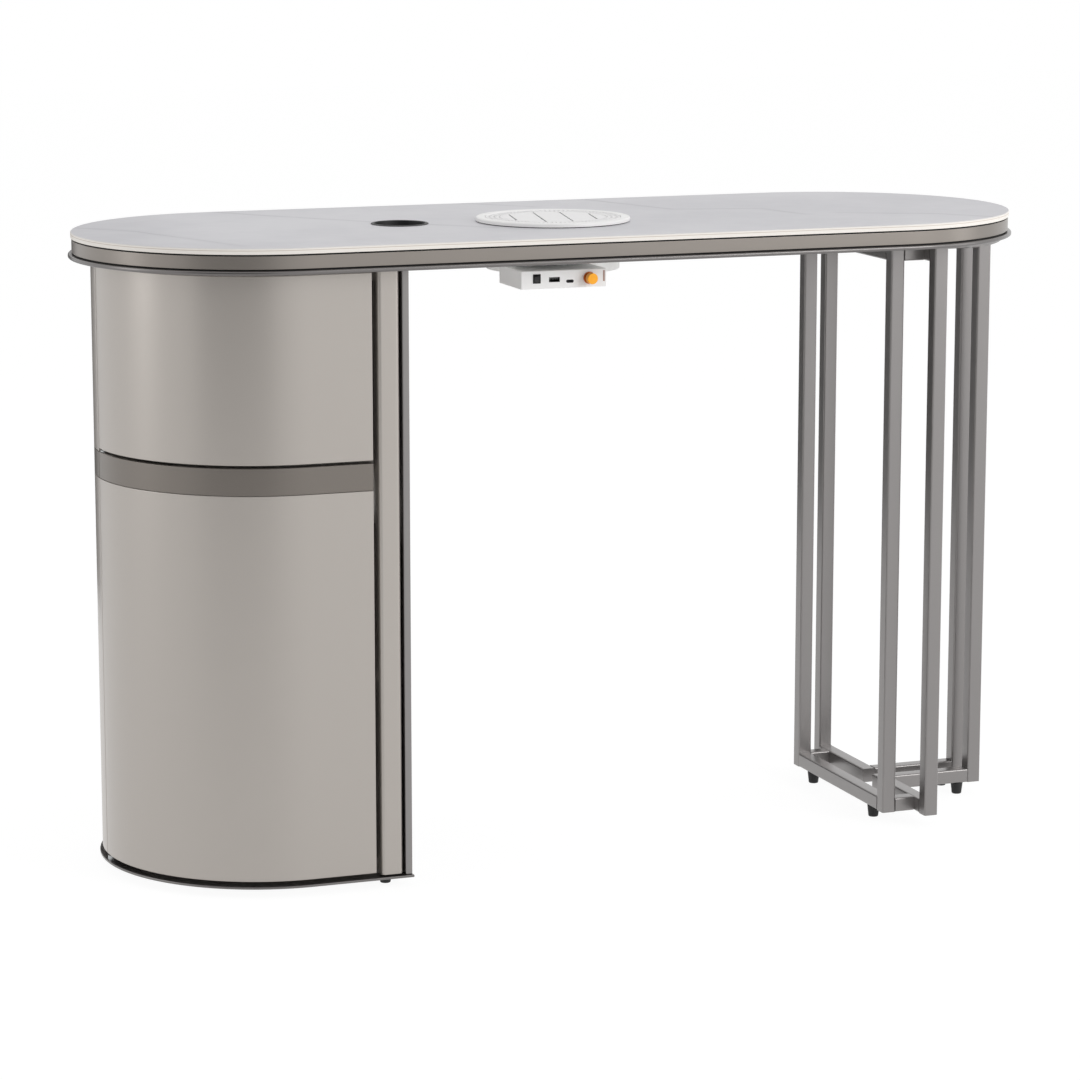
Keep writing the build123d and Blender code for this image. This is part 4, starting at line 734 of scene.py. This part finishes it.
low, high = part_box("cable_grommet")
grommet = {"sleeve": 33 * mm, "bore": 31 * mm, "flangeHeight": 1.2 * mm, "round": 0.9 * mm}
grommetAxis = (low + high) / 2
grommetAxis.z = 0
flangeRadius = (high.x - low.x) / 2
grommetMesh = bmesh.new()
lathe(grommetMesh, grommetAxis, [(grommet["bore"], low.z), (grommet["sleeve"], low.z),
                                 (grommet["sleeve"], high.z - grommet["flangeHeight"]),
                                 (flangeRadius, high.z - grommet["flangeHeight"]), (flangeRadius, high.z),
                                 (grommet["bore"], high.z)])
topEdges = [edge for edge in grommetMesh.edges if all(vert.co.z > high.z - 0.01 * mm for vert in edge.verts)]
soften(grommetMesh, grommet["round"], 4, topEdges)
piece("cableGrommet", grommetMesh, "table", slotOf["cable_grommet"], "cable_grommet")
print("collector done")


# control box: shell, lid, face, switch, ports and knob

controls = {
    "shellRound": 0.7 * mm, "faceRound": 0.35 * mm, "rockerRound": 0.3 * mm, "footRound": 1.1 * mm,
    "tongueSkin": 0.06 * mm, "tongueThick": 1.6 * mm, "tongueUp": 1.0 * mm, "portWall": 1.5 * mm,
    "tongueSetBack": 1.3 * mm, "tongueBack": 1 * mm, "tongueRound": 0.15 * mm,
}
softened = {
    "control_box_shell": ("controlShell", "table", "shellRound"),
    "control_box_lid": ("controlLid", "table", "faceRound"),
    "control_face_plate": ("controlFace", "table", "faceRound"),
    "switch_housing": ("switchHousing", "table", "faceRound"),
    "switch_rocker": ("switchRocker", "rocker", "rockerRound"),
    "cabinet_feet": ("cabinetFeet", "table", "footRound"),
    "leg_feet": ("legFeet", "table", "footRound"),
}
for node, (name, body, size) in softened.items():
    made = copyOf(node)
    soften(made, controls[size], 3)
    piece(name, made, body, slotOf[node], node)

low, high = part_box("usb_a_port")
skin = controls["tongueSkin"]
tongueMiddle = (low.z + high.z) / 2 + controls["tongueUp"]
tongue = bmesh.new()
block(tongue, (low.x + controls["portWall"] - skin, low.y + controls["tongueSetBack"] - 2 * skin,
               tongueMiddle - controls["tongueThick"] / 2 - skin),
      (high.x - controls["portWall"] + skin, high.y - controls["tongueBack"],
       tongueMiddle + controls["tongueThick"] / 2 + skin))
soften(tongue, controls["tongueRound"], 2)
piece("usbTongue", tongue, "table", "white_plastic")

knob = {
    "radius": 6.6 * mm, "length": 8 * mm, "collarRadius": 7.2 * mm, "collarLength": 3 * mm,
    "waistRadius": 5.4 * mm, "waistLength": 2.4 * mm, "spindle": 3 * mm, "flutes": 36, "fluteDepth": 0.28 * mm,
    "round": 0.5 * mm, "bite": 0.6 * mm,
}
low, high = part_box("speed_knob")
knobMiddle = (low + high) / 2
sides = 2 * knob["flutes"]
knobMesh = bmesh.new()


def drum(front, back, radius, fluted=False):
    # a closed drum about the spindle, fluted by pulling in every other corner
    place = Matrix.Translation((knobMiddle.x, (front + back) / 2, knobMiddle.z)) @ Matrix.Rotation(
        math.pi / 2, 4, "X")
    made = bmesh.ops.create_cone(knobMesh, cap_ends=True, segments=sides, radius1=radius, radius2=radius,
                                 depth=back - front, matrix=place)["verts"]
    if fluted:
        share = 1 - knob["fluteDepth"] / radius
        for vert in made:
            turnShare = math.atan2(vert.co.z - knobMiddle.z, vert.co.x - knobMiddle.x) / (2 * math.pi) * sides
            if round(turnShare) % 2:
                vert.co.x = knobMiddle.x + (vert.co.x - knobMiddle.x) * share
                vert.co.z = knobMiddle.z + (vert.co.z - knobMiddle.z) * share
    rims = [edge for edge in {edge for vert in made for edge in vert.link_edges}
            if abs(edge.verts[0].co.y - edge.verts[1].co.y) < 0.01 * mm]
    soften(knobMesh, knob["round"], 3, rims)


knobBack = low.y + knob["length"]
collarFront = knobBack + knob["waistLength"]
drum(low.y, knobBack, knob["radius"], fluted=True)
bmesh.ops.recalc_face_normals(knobMesh, faces=knobMesh.faces)
piece("speedKnob", knobMesh, "knob", slotOf["speed_knob"], "speed_knob")
knobMesh = bmesh.new()
bite = knob["bite"]  # how far each drum runs into the next
drum(knobBack - bite, collarFront + bite, knob["waistRadius"])
drum(collarFront, collarFront + knob["collarLength"], knob["collarRadius"])
drum(collarFront + bite, high.y, knob["spindle"])
bmesh.ops.recalc_face_normals(knobMesh, faces=knobMesh.faces)
collar = piece("knobCollar", knobMesh, "knob", slotOf["speed_knob"])
# the waist, collar and spindle take a darker copy of the knob's gold: painted shade on one material
collar.data.materials[0] = brushedPaint("shadedGoldCollar", (196, 104, 34), 0.34, (60, 900, 60), 0.75)
print("controls done")


# floor, light and camera

studio = {
    "worldLevel": 0.52, "floorGlow": 0.88, "glowLevel": 1.06, "floorSize": 14,
    "cards": {
        "frontCard": {"at": (-3.6, -5.2, 1.6), "facing": (-0.4, 0, 1.6), "size": 3.0},
        "backCard": {"at": (-0.45, 1.7, 0.52), "facing": (0.5, -0.1, 0.52), "size": 0.5},
    },
    "lamps": {
        "sideLeft": {"at": (-4.2, 0.6, 1.8), "to": (-0.3, 0, 0.5), "size": (1.2, 3.0), "power": 24},
        "fillRight": {"at": (2.6, -3.6, 2.2), "to": (0, 0, 0.4), "size": (2.0, 2.5), "power": 74},
        "sideRight": {"at": (3.6, -1.4, 1.3), "to": (0.5, 0, 0.6), "size": (1.0, 2.4), "power": 10},
        "knee": {"at": (-0.19, -0.08, 0.4), "to": (0.03, -0.18, 0.72), "size": (0.25, 0.25), "power": 0.6},
        "top": {"at": (0.2, 0.6, 3.4), "to": (0, 0, 0.7), "size": (3.0, 2.0), "power": 8},
    },
    "hiddenLamp": "knee",
    "cameraSpot": (-1.6224, -4.3580, 1.2345), "cameraTilt": 79.465, "cameraTurn": -20.23,
    "lens": 125.99, "sensor": 36, "farthest": 60,
}


def whiteForView(tree):
    # 1 for camera, glossy and transmission rays
    camera, glossy, through = [tree.node("ShaderNodeLightPath", out=name)
                               for name in ("Is Camera Ray", "Is Glossy Ray", "Is Transmission Ray")]
    return camera.maths("MAXIMUM", glossy).maths("MAXIMUM", through)


def flatSquare(name, size, paint, place):
    bm = bmesh.new()
    bmesh.ops.create_grid(bm, x_segments=1, y_segments=1, size=size, matrix=place)
    mesh = bpy.data.meshes.new(name)
    bm.to_mesh(mesh)
    bm.free()
    mesh.materials.append(paint.material)
    made = bpy.data.objects.new(name, mesh)
    bpy.context.scene.collection.objects.link(made)
    return made


def aim(spot, target, axis):
    return (Vector(target) - Vector(spot)).to_track_quat(axis, "Y")


world = bpy.data.worlds.new("studio")
bpy.context.scene.world = world
world.use_nodes = True
sky = Tree(world.node_tree)
background = world.node_tree.nodes["Background"]
level = studio["worldLevel"]
sky.plug(background.inputs["Strength"], level + (1 - level) * whiteForView(sky))
sky.plug(background.inputs["Color"], (1, 1, 1, 1))

floorPaint = Paint("paleFloor", (252, 252, 252), 0.9)
plain = Wire(floorPaint, floorPaint.shader.outputs[0])
glow = floorPaint.node("ShaderNodeEmission", None, {"Strength": studio["glowLevel"]})
share = whiteForView(floorPaint) * studio["floorGlow"]
blend = floorPaint.node("ShaderNodeMixShader", None, {0: share, 1: plain, 2: glow})
floorPaint.plug(floorPaint.tree.nodes["Material Output"].inputs["Surface"], blend)
floor = flatSquare("floor", studio["floorSize"], floorPaint, Matrix())

# dark cards out of view give the bent fronts their darker middle and the legs their dark sides
cardPaint = Paint("cardBlack", (40, 40, 40), 0.9)
for name, card in studio["cards"].items():
    facing = aim(card["at"], card["facing"], "Z").to_matrix().to_4x4()
    made = flatSquare(name, card["size"], cardPaint, Matrix.Translation(card["at"]) @ facing)
    made.visible_camera = False
    made.visible_diffuse = False
    made.visible_shadow = False

for name, lamp in studio["lamps"].items():
    light = bpy.data.lights.new(name, "AREA")
    light.shape = "RECTANGLE"
    light.size, light.size_y = lamp["size"]
    light.energy = lamp["power"]
    made = bpy.data.objects.new(name, light)
    made.location = lamp["at"]
    made.rotation_euler = aim(lamp["at"], lamp["to"], "-Z").to_euler()
    made.visible_camera = name != studio["hiddenLamp"]
    made.visible_glossy = name != studio["hiddenLamp"]
    bpy.context.scene.collection.objects.link(made)

lens = bpy.data.cameras.new("camera")
lens.lens = studio["lens"]
lens.sensor_width = studio["sensor"]
lens.clip_end = studio["farthest"]
camera = bpy.data.objects.new("camera", lens)
camera.location = studio["cameraSpot"]
camera.rotation_euler = (math.radians(studio["cameraTilt"]), 0, math.radians(studio["cameraTurn"]))
bpy.context.scene.collection.objects.link(camera)
bpy.context.scene.camera = camera
bpy.context.scene.view_settings.view_transform = "Standard"

print("scene done")
